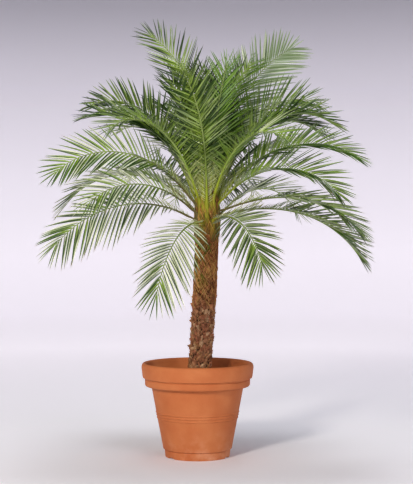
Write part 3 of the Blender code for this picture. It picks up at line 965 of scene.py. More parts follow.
def build_stubs():
    pattern = build_stub_pattern()
    tree = stub_tree()
    for name, count, proud in STUB_SETS:
        stubs = made_by(tree, name, start_point, {
            "Axis": axis_line, "Stub": pattern, "Count": count, "Start": STUBS_START, "Rise": STUBS_RISE,
            "Proud": proud, "Red": red_stub, "Dry": stub_end,
        })
        settle(stubs, "palm_bark")
    bpy.data.objects.remove(pattern)


build_stubs()

# %% [markdown]
# ### Fibre
# The sheath of each leaf breaks up into a woven mat of flat fibres that cross each other on a slant.
# Every fibre starts as a straight line on the flat sheet, is turned one way or the other, given a
# slight bow off the sheet, wrapped round the trunk and given a thin three-sided body. The same tree
# makes the broader straps of the sheaths: olive and green under the head, and brown where they have
# dried lower down. A table holds two lines for each mat.

# %% Fibres
FIBRE_POINTS = 8
FIBRE_SIDES = 3
FIBRE_LAYER = 0.0025
LEAST_BOW = 0.0005
LEAST_SLANT = 0.30
FIBRE_END_GIRTH = 0.35
TAN_FIBRES_BELOW = 0.32
DARK_FIBRES_ABOVE = 0.80


def fibre_tree():
    """Slanting fibres or straps between two heights and two bearings, in three tones."""
    tree, given = new_tree("fibres round the trunk", {
        "Axis": "Object", "Count": "Int", "Bottom": "Float", "Top": "Float",
        "Shortest": "Float", "Longest": "Float", "Slant": "Float", "Bow": "Float", "Girth": "Float",
        "From": "Float", "To": "Float", "Out": "Float", "Cross": "Float",
        "Seed": "Int", "Red": "Material", "Tan": "Material", "Dark": "Material",
    })
    low = add(tree, "ShaderNodeCombineXYZ", {0: given["From"], 1: given["Out"], 2: given["Bottom"]})
    further = add(tree, "ShaderNodeMath", {0: given["Out"], 1: FIBRE_LAYER})
    high = add(tree, "ShaderNodeCombineXYZ", {0: given["To"], 1: further, 2: given["Top"]})
    place = add(tree, "FunctionNodeRandomValue", {
        "Min": low, "Max": high, "Seed": given["Seed"],
    }, data_type="FLOAT_VECTOR")
    spots = add(tree, "GeometryNodePoints", {"Count": given["Count"], "Position": place})
    toned = add(tree, "GeometryNodeStoreNamedAttribute", {
        "Geometry": spots, "Name": "tone", "Value": add(tree, "FunctionNodeRandomValue", {"Seed": 31}),
    })
    bow, one_way, side, length = [
        add(tree, "FunctionNodeRandomValue", {"Min": least, "Max": most, "Seed": seed})
        for seed, least, most in (
            (32, LEAST_BOW, given["Bow"]), (33, given["Slant"], LEAST_SLANT),
            (34, given["Cross"], 1.0), (35, given["Shortest"], given["Longest"]),
        )
    ]
    bows = add(tree, "GeometryNodeStoreNamedAttribute", {
        "Geometry": toned, "Name": "bow", "Value": bow,
    })
    line = add(tree, "GeometryNodeCurvePrimitiveLine", {0: (0, 0, -0.5), 1: (0, 0, 0.5)})
    pieces = add(tree, "GeometryNodeResampleCurve", {"Curve": line, "Count": FIBRE_POINTS})
    way = add(tree, "ShaderNodeMath", {0: side}, operation="SIGN")
    slant = add(tree, "ShaderNodeMath", {0: one_way, 1: way}, operation="MULTIPLY")
    turn = add(tree, "ShaderNodeCombineXYZ", {1: slant})
    lines = add(tree, "GeometryNodeInstanceOnPoints", {
        "Points": bows, "Instance": pieces, "Rotation": turn, "Scale": length,
    })
    real = add(tree, "GeometryNodeRealizeInstances", {0: lines})
    share = add(tree, "GeometryNodeSplineParameter")
    there = add(tree, "ShaderNodeMath", {0: share.outputs["Factor"], 1: math.pi}, operation="MULTIPLY")
    hump = add(tree, "ShaderNodeMath", {0: there}, operation="SINE")
    kept_bow = add(tree, "GeometryNodeInputNamedAttribute", {"Name": "bow"})
    out = add(tree, "ShaderNodeMath", {0: hump, 1: kept_bow}, operation="MULTIPLY")
    off = add(tree, "ShaderNodeCombineXYZ", {1: out})
    bent = add(tree, "GeometryNodeSetPosition", {"Geometry": real, "Offset": off})
    wrapped = add(tree, "GeometryNodeGroup", {"Geometry": bent, "Axis": given["Axis"]}, node_tree=wrap)
    thin = add(tree, "ShaderNodeMapRange", {0: hump, 3: FIBRE_END_GIRTH, 4: 1.0})
    girth = add(tree, "ShaderNodeMath", {0: thin, 1: given["Girth"]}, operation="MULTIPLY")
    sized = add(tree, "GeometryNodeSetCurveRadius", {"Curve": wrapped, "Radius": girth})
    section = add(tree, "GeometryNodeCurvePrimitiveCircle", {"Resolution": FIBRE_SIDES})
    bodies = add(tree, "GeometryNodeCurveToMesh", {
        "Curve": sized, "Profile Curve": section, "Scale": girth, "Fill Caps": True,
    })
    first = add(tree, "GeometryNodeSetMaterial", {"Geometry": bodies, "Material": given["Red"]})
    last = dealt_materials(tree, given, first, (
        ("Tan", "LESS_THAN", TAN_FIBRES_BELOW), ("Dark", "GREATER_THAN", DARK_FIBRES_ABOVE),
    ))
    add(tree, "NodeGroupOutput", {0: last})
    return tree


# %% The mats of fibres
ROUND = (0, 360)
FIBRE_MATS = (
    # name, tones, count, height, length,
    # slant, bow, girth, degrees round, out, other way, seed
    ("sheath_fibres", "fibre", 1300, (0.64, 1.01), (0.045, 0.10),
     0.85, 0.003, 0.0009, ROUND, -0.004, 1.0, 41),
    ("sheath_straps", "strap", 110, (0.73, 0.975), (0.06, 0.13),
     0.6, 0.004, 0.002, (85, 215), -0.004, 0.15, 44),
    ("brown_straps", "chaff", 210, (0.62, 0.80), (0.03, 0.07),
     0.80, 0.004, 0.0020, ROUND, -0.003, 0.8, 45),
    ("collar_straps", "strap", 150, (0.90, 1.02), (0.045, 0.09),
     0.45, 0.003, 0.0012, ROUND, 0.003, 0.8, 46),
    ("stub_fibres", "fibre", 700, (0.325, 0.665), (0.012, 0.035),
     1.2, 0.004, 0.0008, ROUND, -0.003, 1.0, 42),
    ("head_fibres", "fibre", 420, (1.00, 1.10), (0.04, 0.09),
     0.60, 0.009, 0.0008, ROUND, -0.002, 1.0, 43),
)
FIBRE_TONES = {
    "chaff": (red_stub, fibre_tan, stub_bark),
    "fibre": (fibre_red, fibre_tan, fibre_dark),
    "strap": (strap_olive, fibre_tan, strap_green),
}


def build_fibres():
    tree = fibre_tree()
    for name, tones, count, height, length, slant, bow, girth, turns, out, crossing, seed in FIBRE_MATS:
        red, tan, dark = FIBRE_TONES[tones]
        start, end = [math.radians(turn) * TRUNK_RADIUS for turn in turns]
        mat = made_by(tree, name, start_point, {
            "Axis": axis_line, "Count": count, "Bottom": height[0], "Top": height[1],
            "Shortest": length[0], "Longest": length[1], "Slant": slant, "Bow": bow, "Girth": girth,
            "From": start, "To": end, "Out": out, "Cross": -crossing, "Seed": seed,
            "Red": red, "Tan": tan, "Dark": dark,
        })
        settle(mat, "palm_bark")


build_fibres()

# %% [markdown]
# ## The fronds
# A phoenix frond has a long rib that is bare near the trunk, except for spines, and then carries a
# row of narrow leaflets on each side. Each frond that the picture shows is one line of a table: where
# it sits on the head, which way it points, how steeply it rises and how far it has bent over at its
# tip. Those at the back and in the middle follow a rule of their own. The rib is walked from its foot
# in small steps, so a change of one number moves rib, spines and leaflets alike.

# %% The fronds and their rule
PETIOLE_SHARE = 0.17
BLADE_END_SHARE = 0.985
RIB_WALK_STEPS = 120
GOLDEN_SHARE = 0.618034
BACK_COUNT = 13
BACK_FROM = 52
BACK_SPAN = 82
# Pairs run from the oldest frond to the youngest, and the back lengths peak half-way.
BACK_SEATS = (-0.12, 0.62)
BACK_RISES = (38, 75)
BACK_DROOPS = (84, 78)
BACK_SAGS = (0.15, 0.08)
BACK_LENGTHS = (0.68, 0.74)
YOUNG_COUNT = 6
YOUNG_FROM = 292
YOUNG_SEATS = (0.70, 0.95)
YOUNG_RISES = (83, 86)
YOUNG_DROOPS = (30, 14)
YOUNG_LENGTHS = (0.55, 0.47)

Frond = namedtuple("Frond", "name seat bearing rise droop bend length swing roll lift sag")

SHOWN_FRONDS = (
    Frond("low_left", -0.10, 200, 33, 84, 0.95, 0.66, 0, -70, 20, 0.34),
    Frond("low_front_left", -0.14, 247, 5, 71, 0.90, 0.56, 0, -34, 20, 0.36),
    Frond("low_front_right", -0.08, 300, 20, 88, 0.90, 0.46, 0, 40, 20, 0.20),
    Frond("low_right", 0.06, 352, 15, 74, 1.30, 0.65, 0, 16, 34, 0.12),
    Frond("mid_right", 0.16, 332, 19, 66, 1.50, 0.66, 0, 8, 22, 0.18),
    Frond("mid_left", 0.08, 214, 40, 84, 1.35, 0.54, -10, -50, 20, 0.24),
    Frond("arched_left", 0.16, 178, 54, 110, 1.10, 0.64, 0, -10, 25, 0.15),
    Frond("wide_left", 0.32, 203, 53, 97, 1.35, 0.69, -8, -60, 20, 0.14),
    Frond("arched_right", 0.36, 340, 50, 102, 1.20, 0.59, 0, 35, 28, 0.10),
    Frond("wide_right", 0.46, 2, 55, 90, 1.35, 0.68, 0, 30, 22, 0.12),
    Frond("shoulder_right", 0.42, 30, 71, 112, 1.60, 0.72, 0, 20, 30, 0.08),
    Frond("far_right", 0.72, 0, 68, 107, 1.70, 0.66, 0, 25, 30, 0.08),
    Frond("front_right", 0.54, 309, 68, 102, 1.35, 0.58, 0, 20, 20, 0.10),
    Frond("upper_right", 0.60, 19, 75, 92, 1.70, 0.68, 0, 60, 20, 0.08),
    Frond("upper_left", 0.58, 160, 69, 86, 1.90, 0.69, 0, -50, 20, 0.08),
    Frond("shoulder_left", 0.45, 181, 69, 90, 1.80, 0.64, 0, -30, 25, 0.08),
    Frond("front_left", 0.38, 228, 67, 106, 1.60, 0.69, 0, -15, 20, 0.10),
    Frond("tall_right", 0.66, 38, 77, 56, 1.60, 0.81, 0, 62, 20, 0.08),
    Frond("tall_left", 0.14, 268, 86, 60, 1.30, 0.83, -52, 35, 20, 0.08),
    Frond("spear_right", 0.84, 38, 79, 48, 3.00, 0.60, 0, 40, 20, 0.08),
    Frond("inner_front", 0.50, 250, 81, 26, 1.40, 0.54, 0, 0, 20, 0.08),
    Frond("inner_left", 0.66, 234, 81, 40, 1.40, 0.50, 0, 0, 20, 0.08),
)


def back_fronds():
    """The fronds behind what the viewer sees, spaced by the golden angle."""
    fronds = []
    for i in range(BACK_COUNT):
        age = i / (BACK_COUNT - 1)
        bearing = BACK_FROM + BACK_SPAN * ((i * GOLDEN_SHARE) % 1)
        length = blend(*BACK_LENGTHS, math.sin(math.pi * age))
        seat, rise, droop, sag = [
            blend(*pair, age) for pair in (BACK_SEATS, BACK_RISES, BACK_DROOPS, BACK_SAGS)
        ]
        fronds.append(
            Frond(
                f"back_{i + 1:02d}", seat, bearing, rise, droop,
                bend=1.4, length=length, swing=0, roll=0, lift=30, sag=sag,
            )
        )
    return fronds


def young_fronds():
    """The upright young leaves in the middle of the head."""
    fronds = []
    for i in range(YOUNG_COUNT):
        age = i / (YOUNG_COUNT - 1)
        bearing = YOUNG_FROM + GOLDEN_ANGLE * i
        seat, rise, droop, length = [
            blend(*pair, age) for pair in (YOUNG_SEATS, YOUNG_RISES, YOUNG_DROOPS, YOUNG_LENGTHS)
        ]
        fronds.append(
            Frond(
                f"young_{i + 1}", seat, bearing, rise, droop,
                bend=1.4, length=length, swing=0, roll=0, lift=20, sag=0.08,
            )
        )
    return fronds


fronds = [*SHOWN_FRONDS, *back_fronds(), *young_fronds()]
print("fronds:", len(fronds))


# %% Walking a rib
ROLLED_AT = 0.5
RibFrame = namedtuple("RibFrame", "share middle along across upwards")


def rib_frame(frond, place, share):
    """Where the rib is, which way it runs and which way its blade faces, at a share of its length."""
    rise = frond.rise - frond.droop * share**frond.bend
    bearing = frond.bearing + frond.swing * share
    along = Vector((cosine(rise) * cosine(bearing), cosine(rise) * sine(bearing), sine(rise)))
    roll = math.radians(frond.roll * min(1.0, share / ROLLED_AT))
    level = Vector((-sine(bearing), cosine(bearing), 0))
    across = Matrix.Rotation(roll, 3, along) @ level
    return RibFrame(share, place, along, across, along.cross(across))


def outwards_of(frond):
    return Vector((cosine(frond.bearing), sine(frond.bearing), 0))


def walked_rib(frond):
    radius, height = head_point(frond.seat)
    place = trunk_axis(height) + outwards_of(frond) * radius
    frames = []
    for step in range(RIB_WALK_STEPS + 1):
        frames.append(rib_frame(frond, place, step / RIB_WALK_STEPS))
        place = place + frames[-1].along * (frond.length / RIB_WALK_STEPS)
    return frames


# %% [markdown]
# ### Ribs and their bases
# Near the trunk the leaf stalk widens into a flat base that lies against the stem and clasps it. The
# stalk is grooved above and rounded below. The same section is swept up the stem from 90 mm below the
# seat, round a short curve and then along the rib, thinning to its tip. A mark on every point says
# how far it is from the seat, and the material reads it to go from fibre brown at the base through
# yellow-green on the stalk to green along the blade, with brown streaks, 4 mm wide and 38 mm long,
# that thin out along it. A living stalk is smooth and has a soft gloss. The stalks of some old fronds
# are painted grey-brown near the trunk as shade, and a second mark says how much each point gets.

# %% Ribs and bases
FOOT_WIDTH = 0.023
FOOT_DEPTH = 0.010
YOUNG_FOOT_LOSS = 0.45
PETIOLE_TAPER = 1.6
RIB_WIDTH = 0.0076
RIB_DEPTH = 0.0065
TIP_WIDTH = 0.0024
TIP_DEPTH = 0.0020
BASE_LENGTH = 0.075
BASE_STEPS = 6
BASE_WIDTH = 0.030
BASE_DEPTH = 0.004
BASE_BELOW_SEAT = 0.015
BASE_SUNK = 0.001
BASE_TAIL_SHARE = 0.5
BASE_SEAT_DEPTH = 0.8
STEM_STEP = 0.004
CURVE_STEPS = 6
CURVE_END = 0.045
CURVE_HANDLE = 0.45
RIB_END_SHARE = 0.995
# These stalks are painted grey-brown near the trunk as shade.
SHADED_STALKS = ("low_left", "mid_left", "arched_left", "wide_left", "low_right", "mid_right")
STALK_SHADE_UNTIL = 0.30
STALK_SHADE_FADE = 1.6
STALK_SHADE_SHARE = 0.85
YOUNGER_BY = 0.05
RIB_SECTION = (
    (1.00, 0.00), (0.55, 0.16), (0.00, -0.14), (-0.55, 0.16), (-1.00, 0.00),
    (-0.84, -0.50), (-0.45, -0.88), (0.00, -1.00), (0.45, -0.88), (0.84, -0.50),
)


def rib_size(share, seat):
    """(width, depth) of the rib at a share of its length."""
    if share < PETIOLE_SHARE:
        near = (1 - share / PETIOLE_SHARE) ** PETIOLE_TAPER
        foot_width = FOOT_WIDTH * (1 - YOUNG_FOOT_LOSS * max(seat, 0.0))
        return blend(RIB_WIDTH, foot_width, near), blend(RIB_DEPTH, FOOT_DEPTH, near)
    far = (share - PETIOLE_SHARE) / (1 - PETIOLE_SHARE)
    return blend(RIB_WIDTH, TIP_WIDTH, far), blend(RIB_DEPTH, TIP_DEPTH, far)


def rib_ring(middle, across, upwards, width, depth):
    return [
        middle + across * (x * width / 2) + upwards * (y * depth)
        for x, y in RIB_SECTION
    ]


def stem_point(frond, height):
    """The place on the stem's surface below or at a frond's seat."""
    return trunk_axis(height) + outwards_of(frond) * (trunk_girth(height) - BASE_SUNK)


def base_rings(frond):
    """The flat base that lies on the stem below the seat, with each ring's distance to the seat."""
    _, seat_height = head_point(frond.seat)
    seat_width, _ = rib_size(0.0, frond.seat)
    level = Vector((-sine(frond.bearing), cosine(frond.bearing), 0))
    rings = []
    for step in range(BASE_STEPS + 1):
        share = step / BASE_STEPS
        height = seat_height - BASE_LENGTH * (1 - share) - BASE_BELOW_SEAT
        middle = stem_point(frond, height)
        upward = (stem_point(frond, height + STEM_STEP) - middle).normalized()
        tail = blend(BASE_TAIL_SHARE, 1.0, min(1.0, 3 * share))
        width = blend(BASE_WIDTH, seat_width, share) * tail
        depth = blend(BASE_DEPTH, FOOT_DEPTH * BASE_SEAT_DEPTH, share)
        rings.append((middle, upward, level, width, depth, -BASE_LENGTH * (1 - share)))
    return rings


def curved_rings(frond, base, frames):
    """Rings round the short curve between the base on the stem and the stalk."""
    first_middle, first_along, level, width, depth, _ = base[-1]
    frame = next(f for f in frames if f.share * frond.length >= CURVE_END)
    end_width, end_depth = rib_size(frame.share, frond.seat)
    reach = (frame.middle - first_middle).length * CURVE_HANDLE
    handles = (
        first_middle,
        first_middle + first_along * reach,
        frame.middle - frame.along * reach,
        frame.middle,
    )
    rings = []
    for step in range(1, CURVE_STEPS):
        t = step / CURVE_STEPS
        a, b, c, d = (1 - t) ** 3, 3 * t * (1 - t) ** 2, 3 * t * t * (1 - t), t**3
        middle = handles[0] * a + handles[1] * b + handles[2] * c + handles[3] * d
        along = (first_along * (1 - t) + frame.along * t).normalized()
        across = (level * (1 - t) + frame.across * t)
        across = (across - along * across.dot(along)).normalized()
        size = blend(width, end_width, t), blend(depth, end_depth, t)
        rings.append((middle, along, across, *size, CURVE_END * t))
    return rings


def rib_rings(frond, frames):
    rings = base_rings(frond)
    rings += curved_rings(frond, rings, frames)
    for frame in frames:
        distance = frame.share * frond.length
        if distance < CURVE_END or frame.share > RIB_END_SHARE:
            continue
        width, depth = rib_size(frame.share, frond.seat)
        rings.append((frame.middle, frame.along, frame.across, width, depth, distance))
    return rings


# %% Colours of a rib
RIB_STOPS = (
    (0.0, "6A4414"), (0.12, "7A5E18"), (0.22, "84801A"),
    (0.40, "869420"), (0.70, "78903A"), (1.0, "869A58"),
)
RIB_STREAK = "503816"
RIB_STREAK_MM = 3.85
RIB_PULL = 0.10
RIB_SHADE = "54482E"


def build_rib_material():
    material, tree, shader, place = new_material("palm stalk and rib", "7C8F3C", 0.55, 0.2)
    # The dry mark holds the painted shade laid over some stalks.
    distance, dry = [
        add(tree, "ShaderNodeAttribute", attribute_name=mark).outputs["Fac"]
        for mark in ("from_seat", "dry")
    ]
    share = add(tree, "ShaderNodeMapRange", {0: distance, 1: -BASE_LENGTH, 2: 0.30})
    ramp = add(tree, "ShaderNodeValToRGB", {0: share}, stops=RIB_STOPS)
    pulled = add(tree, "ShaderNodeMapping", {"Vector": place, "Scale": (1.0, 1.0, RIB_PULL)})
    streaks = add(tree, "ShaderNodeTexNoise", {
        "Vector": pulled, "Scale": per_metre(RIB_STREAK_MM), "Detail": 4.0,
    })
    near = add(tree, "ShaderNodeMapRange", {0: share, 1: 0.05, 2: 0.45, 3: 0.95, 4: 0.30})
    streaky = add(tree, "ShaderNodeMapRange", {0: streaks, 1: 0.46, 2: 0.62})
    amount = add(tree, "ShaderNodeMath", {0: streaky, 1: near}, operation="MULTIPLY")
    paint(tree, shader, ramp.outputs["Color"], (amount, RIB_STREAK), (dry, RIB_SHADE))
    return material


# %% Build the ribs
def build_ribs(name, group, ribs, material):
    points, faces, distances, stalk_shade = [], [], [], []
    for frond in group:
        rings = rib_rings(frond, ribs[frond.name])
        faces += tube_faces(len(points), len(RIB_SECTION), len(rings))
        for middle, along, across, width, depth, distance in rings:
            ring = rib_ring(middle, across, along.cross(across), width, depth)
            points += ring
            distances += [distance + YOUNGER_BY * max(frond.seat, 0.0)] * len(ring)
            # Painted shade on the lower part of some stalks, fading along them.
            shade_amount = limited(STALK_SHADE_FADE - distance / (STALK_SHADE_UNTIL * frond.length))
            stalk_shade += [STALK_SHADE_SHARE * shade_amount if frond.name in SHADED_STALKS else 0.0] * len(ring)
    marks = {"from_seat": distances, "dry": stalk_shade}
    piece = new_object(name, points, faces=faces, marks=marks, materials=[material])
    piece.data.shade_smooth()
    piece.data.set_sharp_from_angle(angle=math.radians(60))
    settle(piece, "palm_leaf")


ribs = {frond.name: walked_rib(frond) for frond in fronds}
rib_green = build_rib_material()
build_ribs("frond_ribs", fronds, ribs, rib_green)

# %% [markdown]
# ### Leaflets
# A leaflet is a stiff narrow strip, folded upwards along its middle into a shallow V and drawn out to
# a sharp tip. One is modelled as a closed mesh of 46 triangles, one metre long and one metre wide, so
# that a scale gives it its real size. Each rib hands the tree a line whose points carry which way the
# left and right leaflets point there and how long they grow. At the end of the rib they close to a
# narrow fan. The tree spaces points 10 to 17 mm apart on that line, as the group of the frond says,
# and sets a leaflet on each side. It turns each one a little at random, shortens those that would
# pierce the trunk, narrows the short ones and lets the tips sag. Each leaflet is dealt one of three
# greens by the age of its frond. The spines on the stalks grow by the same tree, short and narrow.

# %% One leaflet
LEAFLET_STATIONS = (
    # share of length, share of width
    (0.0, 0.30), (0.05, 0.70), (0.18, 0.98), (0.40, 1.00), (0.63, 0.80), (0.84, 0.46),
)
LEAFLET_FOLD = 0.28
LEAFLET_THICKNESS = 0.10


def build_leaflet_pattern(material):
    points, along_marks, across_marks, below_marks = [], [], [], []
    for share, width in LEAFLET_STATIONS:
        half = width / 2
        points += [
            Vector((share, half, LEAFLET_FOLD * width)),
            Vector((share, 0, 0)),
            Vector((share, -half, LEAFLET_FOLD * width)),
            Vector((share, 0, -LEAFLET_THICKNESS)),
        ]
        along_marks += [share] * 4
        across_marks += [1.0, 0.0, -1.0, 0.0]
        below_marks += [0.0, 0.0, 0.0, 1.0]
    faces = tube_faces(0, 4, len(LEAFLET_STATIONS))[:-1]
    last = len(points) - 4
    faces += [(last + i, last + (i + 1) % 4, last + 4) for i in range(4)]
    points.append(Vector((1, 0, 0)))
    marks = {
        "along_leaflet": along_marks + [1.0],
        "across_leaflet": across_marks + [0.0],
        "below_leaflet": below_marks + [0.0],
    }
    return new_object("leaflet_pattern", points, faces=faces, marks=marks, materials=[material])


# %% Lines for the leaflets
LEAFLET_LENGTH = 0.172
FIRST_LEAFLET_SHARE = 0.45
LAST_LEAFLET_SHARE = 0.46
LONGEST_LEAFLET_AT = 0.32
LEAFLET_FALL = 3.5
LEAFLET_ANGLE_AT_PETIOLE = 62
LEAFLET_ANGLE_AT_TIP = 32
LEAFLET_ANGLE_AT_END = 14
CLOSING_FROM = 0.90
SPARSE_FRONDS = ("low_right", "mid_right")
SPARSE_SHARE = 0.28
SPARSE_UNTIL = 0.36
LONG_LEAFLETS = {"tall_right": 1.2}
EDGE_SHARE = 0.38
EDGE_BELOW = 0.001
SPINES_FROM = 0.05
SPINES_PAST = 0.06
SPINE_LENGTHS = (0.030, 0.095)
SPINE_LEAN = 0.35


def leaflet_length(share):
    """A leaflet's length by its share of the way along the blade: longest before the middle."""
    if share < LONGEST_LEAFLET_AT:
        grown = sine(90 * share / LONGEST_LEAFLET_AT)
        return LEAFLET_LENGTH * blend(FIRST_LEAFLET_SHARE, 1.0, grown)
    past = (share - LONGEST_LEAFLET_AT) / (1 - LONGEST_LEAFLET_AT)
    return LEAFLET_LENGTH * blend(1.0, LAST_LEAFLET_SHARE, past**LEAFLET_FALL)


def leaflet_reach(frond, share):
    """A leaflet's length on this frond: the two low right ones start with short leaflets."""
    if frond.name in SPARSE_FRONDS and share < SPARSE_UNTIL:
        return leaflet_length(share) * blend(SPARSE_SHARE, 1.0, (share / SPARSE_UNTIL) ** 3)
    return leaflet_length(share) * LONG_LEAFLETS.get(frond.name, 1.0)


def leaflet_direction(frame, lift, share, side):
    """Which way a leaflet points, from its share of the way along the blade and its side."""
    spread = blend(LEAFLET_ANGLE_AT_PETIOLE, LEAFLET_ANGLE_AT_TIP, share)
    closing = limited((share - CLOSING_FROM) / (1 - CLOSING_FROM))
    spread = blend(spread, LEAFLET_ANGLE_AT_END, closing)
    sideways = frame.across * (side * cosine(lift)) + frame.upwards * sine(lift)
    return frame.along * cosine(spread) + sideways * sine(spread)


def leaf_lines(name, group, ribs, spines=False):
    """Lines along the fronds' blades, or along their stalks for the spines."""
    start, end = PETIOLE_SHARE, BLADE_END_SHARE
    if spines:
        start, end = SPINES_FROM, PETIOLE_SHARE + SPINES_PAST
    points, edges = [], []
    words = ("left", "right", "upwards", "left_edge", "right_edge", "reach", "sag", "age")
    marks = {word: [] for word in words}
    for frond in group:
        frames = [frame for frame in ribs[frond.name] if start <= frame.share <= end]
        edges += [(len(points) + i, len(points) + i + 1) for i in range(len(frames) - 1)]
        for frame in frames:
            share = (frame.share - start) / (end - start)
            lean, reach, sag = share, leaflet_reach(frond, share), frond.sag
            if spines:
                lean, reach, sag = SPINE_LEAN, blend(*SPINE_LENGTHS, share), 0.0
            width, _ = rib_size(frame.share, frond.seat)
            points.append(frame.middle)
            for side, word in ((1, "left"), (-1, "right")):
                edge = frame.across * (side * EDGE_SHARE * width) - frame.upwards * EDGE_BELOW
                marks[word].append(leaflet_direction(frame, frond.lift, lean, side))
                marks[word + "_edge"].append(edge)
            marks["upwards"].append(frame.upwards)
            marks["reach"].append(reach)
            marks["sag"].append(sag)
            marks["age"].append(limited(1 - frond.seat))
    return new_object(name, points, edges, marks=marks)


# %% The tree that grows leaflets
LEAFLET_GROWTH = (0.88, 1.06)
LEAFLET_SHAKE = (4.8, 0.8, 0.8)
TONE_SHIFT = 0.30
CLEAR_OF_TRUNK = 0.9
NARROW_LENGTHS = (0.06, 0.15)
NARROW_SHARE = 0.45
SAG_POWER = 1.3
YOUNG_TONE_BELOW = 0.42
OLD_TONE_ABOVE = 0.82


def leaflet_tree():
    """Leaflets on both sides of every line, dealt out in three materials by the age of the frond."""
    tree, given = new_tree("leaflets along a rib", {
        "Leaflet": "Object", "Trunk": "Object", "Spacing": "Float", "Width": "Float", "Twist": "Float",
        "Shortest": "Float", "Young": "Material", "Grown": "Material", "Old": "Material",
    })
    lines = add(tree, "GeometryNodeMeshToCurve", {0: given["Geometry"]})
    spaced = add(tree, "GeometryNodeResampleCurve", {
        "Curve": lines, "Length": given["Spacing"],
    }, mode="LENGTH")
    trunk = add(tree, "GeometryNodeObjectInfo", {"Object": given["Trunk"]}).outputs["Geometry"]
    pattern = add(tree, "GeometryNodeObjectInfo", {"Object": given["Leaflet"]}).outputs["Geometry"]
    reach, age, sag, share = [
        add(tree, "GeometryNodeInputNamedAttribute", {"Name": mark})
        for mark in ("reach", "age", "sag", "along_leaflet")
    ]
    both_sides = add(tree, "GeometryNodeJoinGeometry")
    for number, side in enumerate(("left", "right")):
        way, edge, upwards = [
            add(tree, "GeometryNodeInputNamedAttribute", {"Name": mark}, data_type="FLOAT_VECTOR")
            for mark in (side, side + "_edge", "upwards")
        ]
        half_step = add(tree, "ShaderNodeMath", {
            0: given["Spacing"], 1: 0.5 * number,
        }, operation="MULTIPLY")
        tangent = add(tree, "GeometryNodeInputTangent")
        forward = add(tree, "ShaderNodeVectorMath", {0: tangent, "Scale": half_step}, operation="SCALE")
        offset = add(tree, "ShaderNodeVectorMath", {0: edge, 1: forward})
        placed = add(tree, "GeometryNodeSetPosition", {"Geometry": spaced, "Offset": offset})
        hit = add(tree, "GeometryNodeRaycast", {
            0: trunk, "Ray Direction": way, "Ray Length": reach,
        }).outputs
        short = add(tree, "ShaderNodeMath", {
            0: hit["Hit Distance"], 1: CLEAR_OF_TRUNK,
        }, operation="MULTIPLY")
        free = add(tree, "GeometryNodeSwitch", {
            "Switch": hit["Is Hit"], "False": reach, "True": short,
        }, input_type="FLOAT")
        growth, shift = [
            add(tree, "FunctionNodeRandomValue", {"Min": least, "Max": most, "Seed": seed + number})
            for seed, least, most in ((51, *LEAFLET_GROWTH), (61, -TONE_SHIFT, TONE_SHIFT))
        ]
        grown = add(tree, "ShaderNodeMath", {0: free, 1: growth}, operation="MULTIPLY")
        marked = placed
        for mark, value in (
            ("reach", grown),
            ("tone", add(tree, "ShaderNodeMath", {0: age, 1: shift})),
            ("near_side", 1.0 - 2.0 * number),
        ):
            marked = add(tree, "GeometryNodeStoreNamedAttribute", {
                "Geometry": marked, "Name": mark, "Value": value,
            })
        facing = add(tree, "FunctionNodeAxesToRotation", {
            0: way, 1: upwards,
        }, primary_axis="X", secondary_axis="Z")
        least, most = [
            add(tree, "ShaderNodeVectorMath", {
                0: [sign * amount for amount in LEAFLET_SHAKE], "Scale": given["Twist"],
            }, operation="SCALE")
            for sign in (-1, 1)
        ]
        shake = add(tree, "FunctionNodeRandomValue", {
            "Min": least, "Max": most, "Seed": 71 + number,
        }, data_type="FLOAT_VECTOR")
        shaken = add(tree, "FunctionNodeRotateRotation", {
            0: facing, 1: add(tree, "FunctionNodeEulerToRotation", {0: shake}),
        }, rotation_space="LOCAL")
        narrowed = add(tree, "ShaderNodeMapRange", {
            0: reach, 1: NARROW_LENGTHS[0], 2: NARROW_LENGTHS[1], 3: NARROW_SHARE, 4: 1.0,
        })
        wide = add(tree, "ShaderNodeMath", {0: given["Width"], 1: narrowed}, operation="MULTIPLY")
        leaflets = add(tree, "GeometryNodeInstanceOnPoints", {
            "Points": marked, "Instance": pattern, "Rotation": shaken,
            "Selection": add(tree, "FunctionNodeCompare", {0: reach, 1: given["Shortest"]}),
            "Scale": add(tree, "ShaderNodeCombineXYZ", {0: reach, 1: wide, 2: wide}),
        })
        tree.links.new(leaflets.outputs[0], both_sides.inputs[0])
    real = add(tree, "GeometryNodeRealizeInstances", {0: both_sides})
    down = add(tree, "ShaderNodeMath", {0: share, 1: SAG_POWER}, operation="POWER")
    for amount in (sag, reach, -1.0):
        down = add(tree, "ShaderNodeMath", {0: down, 1: amount}, operation="MULTIPLY")
    sagged = add(tree, "GeometryNodeSetPosition", {
        "Geometry": real, "Offset": add(tree, "ShaderNodeCombineXYZ", {2: down}),
    })
    flat = add(tree, "GeometryNodeSetShadeSmooth", {"Geometry": sagged, "Shade Smooth": False})
    first = add(tree, "GeometryNodeSetMaterial", {"Geometry": flat, "Material": given["Grown"]})
    last = dealt_materials(tree, given, first, (
        ("Young", "LESS_THAN", YOUNG_TONE_BELOW), ("Old", "GREATER_THAN", OLD_TONE_ABOVE),
    ))
    add(tree, "NodeGroupOutput", {0: last})
    return tree


# %% [markdown]
# ### Greens
# A phoenix leaflet is folded along its middle. The half towards the trunk is painted paler than the
# other half, a painted highlight on that side of the fold, most of all on old leaves. The underside
# is paler too, partly its own grey wax and partly painted light that lifts its shade. The paleness
# is uneven, in clouds of 70 mm. All have a soft gloss. Leaves go from a fresh yellowish green in the
# middle of the head to a deeper and greyer green low down, and old leaflets dry to brown at the tip.
# Leaflets of the head are yellowish at their foot. Those deep inside it and many higher up are
# painted dark as shade, and old ones on the right side are painted duller as shade. Marks across,
# below and along the leaflet tell the material which part a point is on; the first is turned about
# on the other side of the rib.

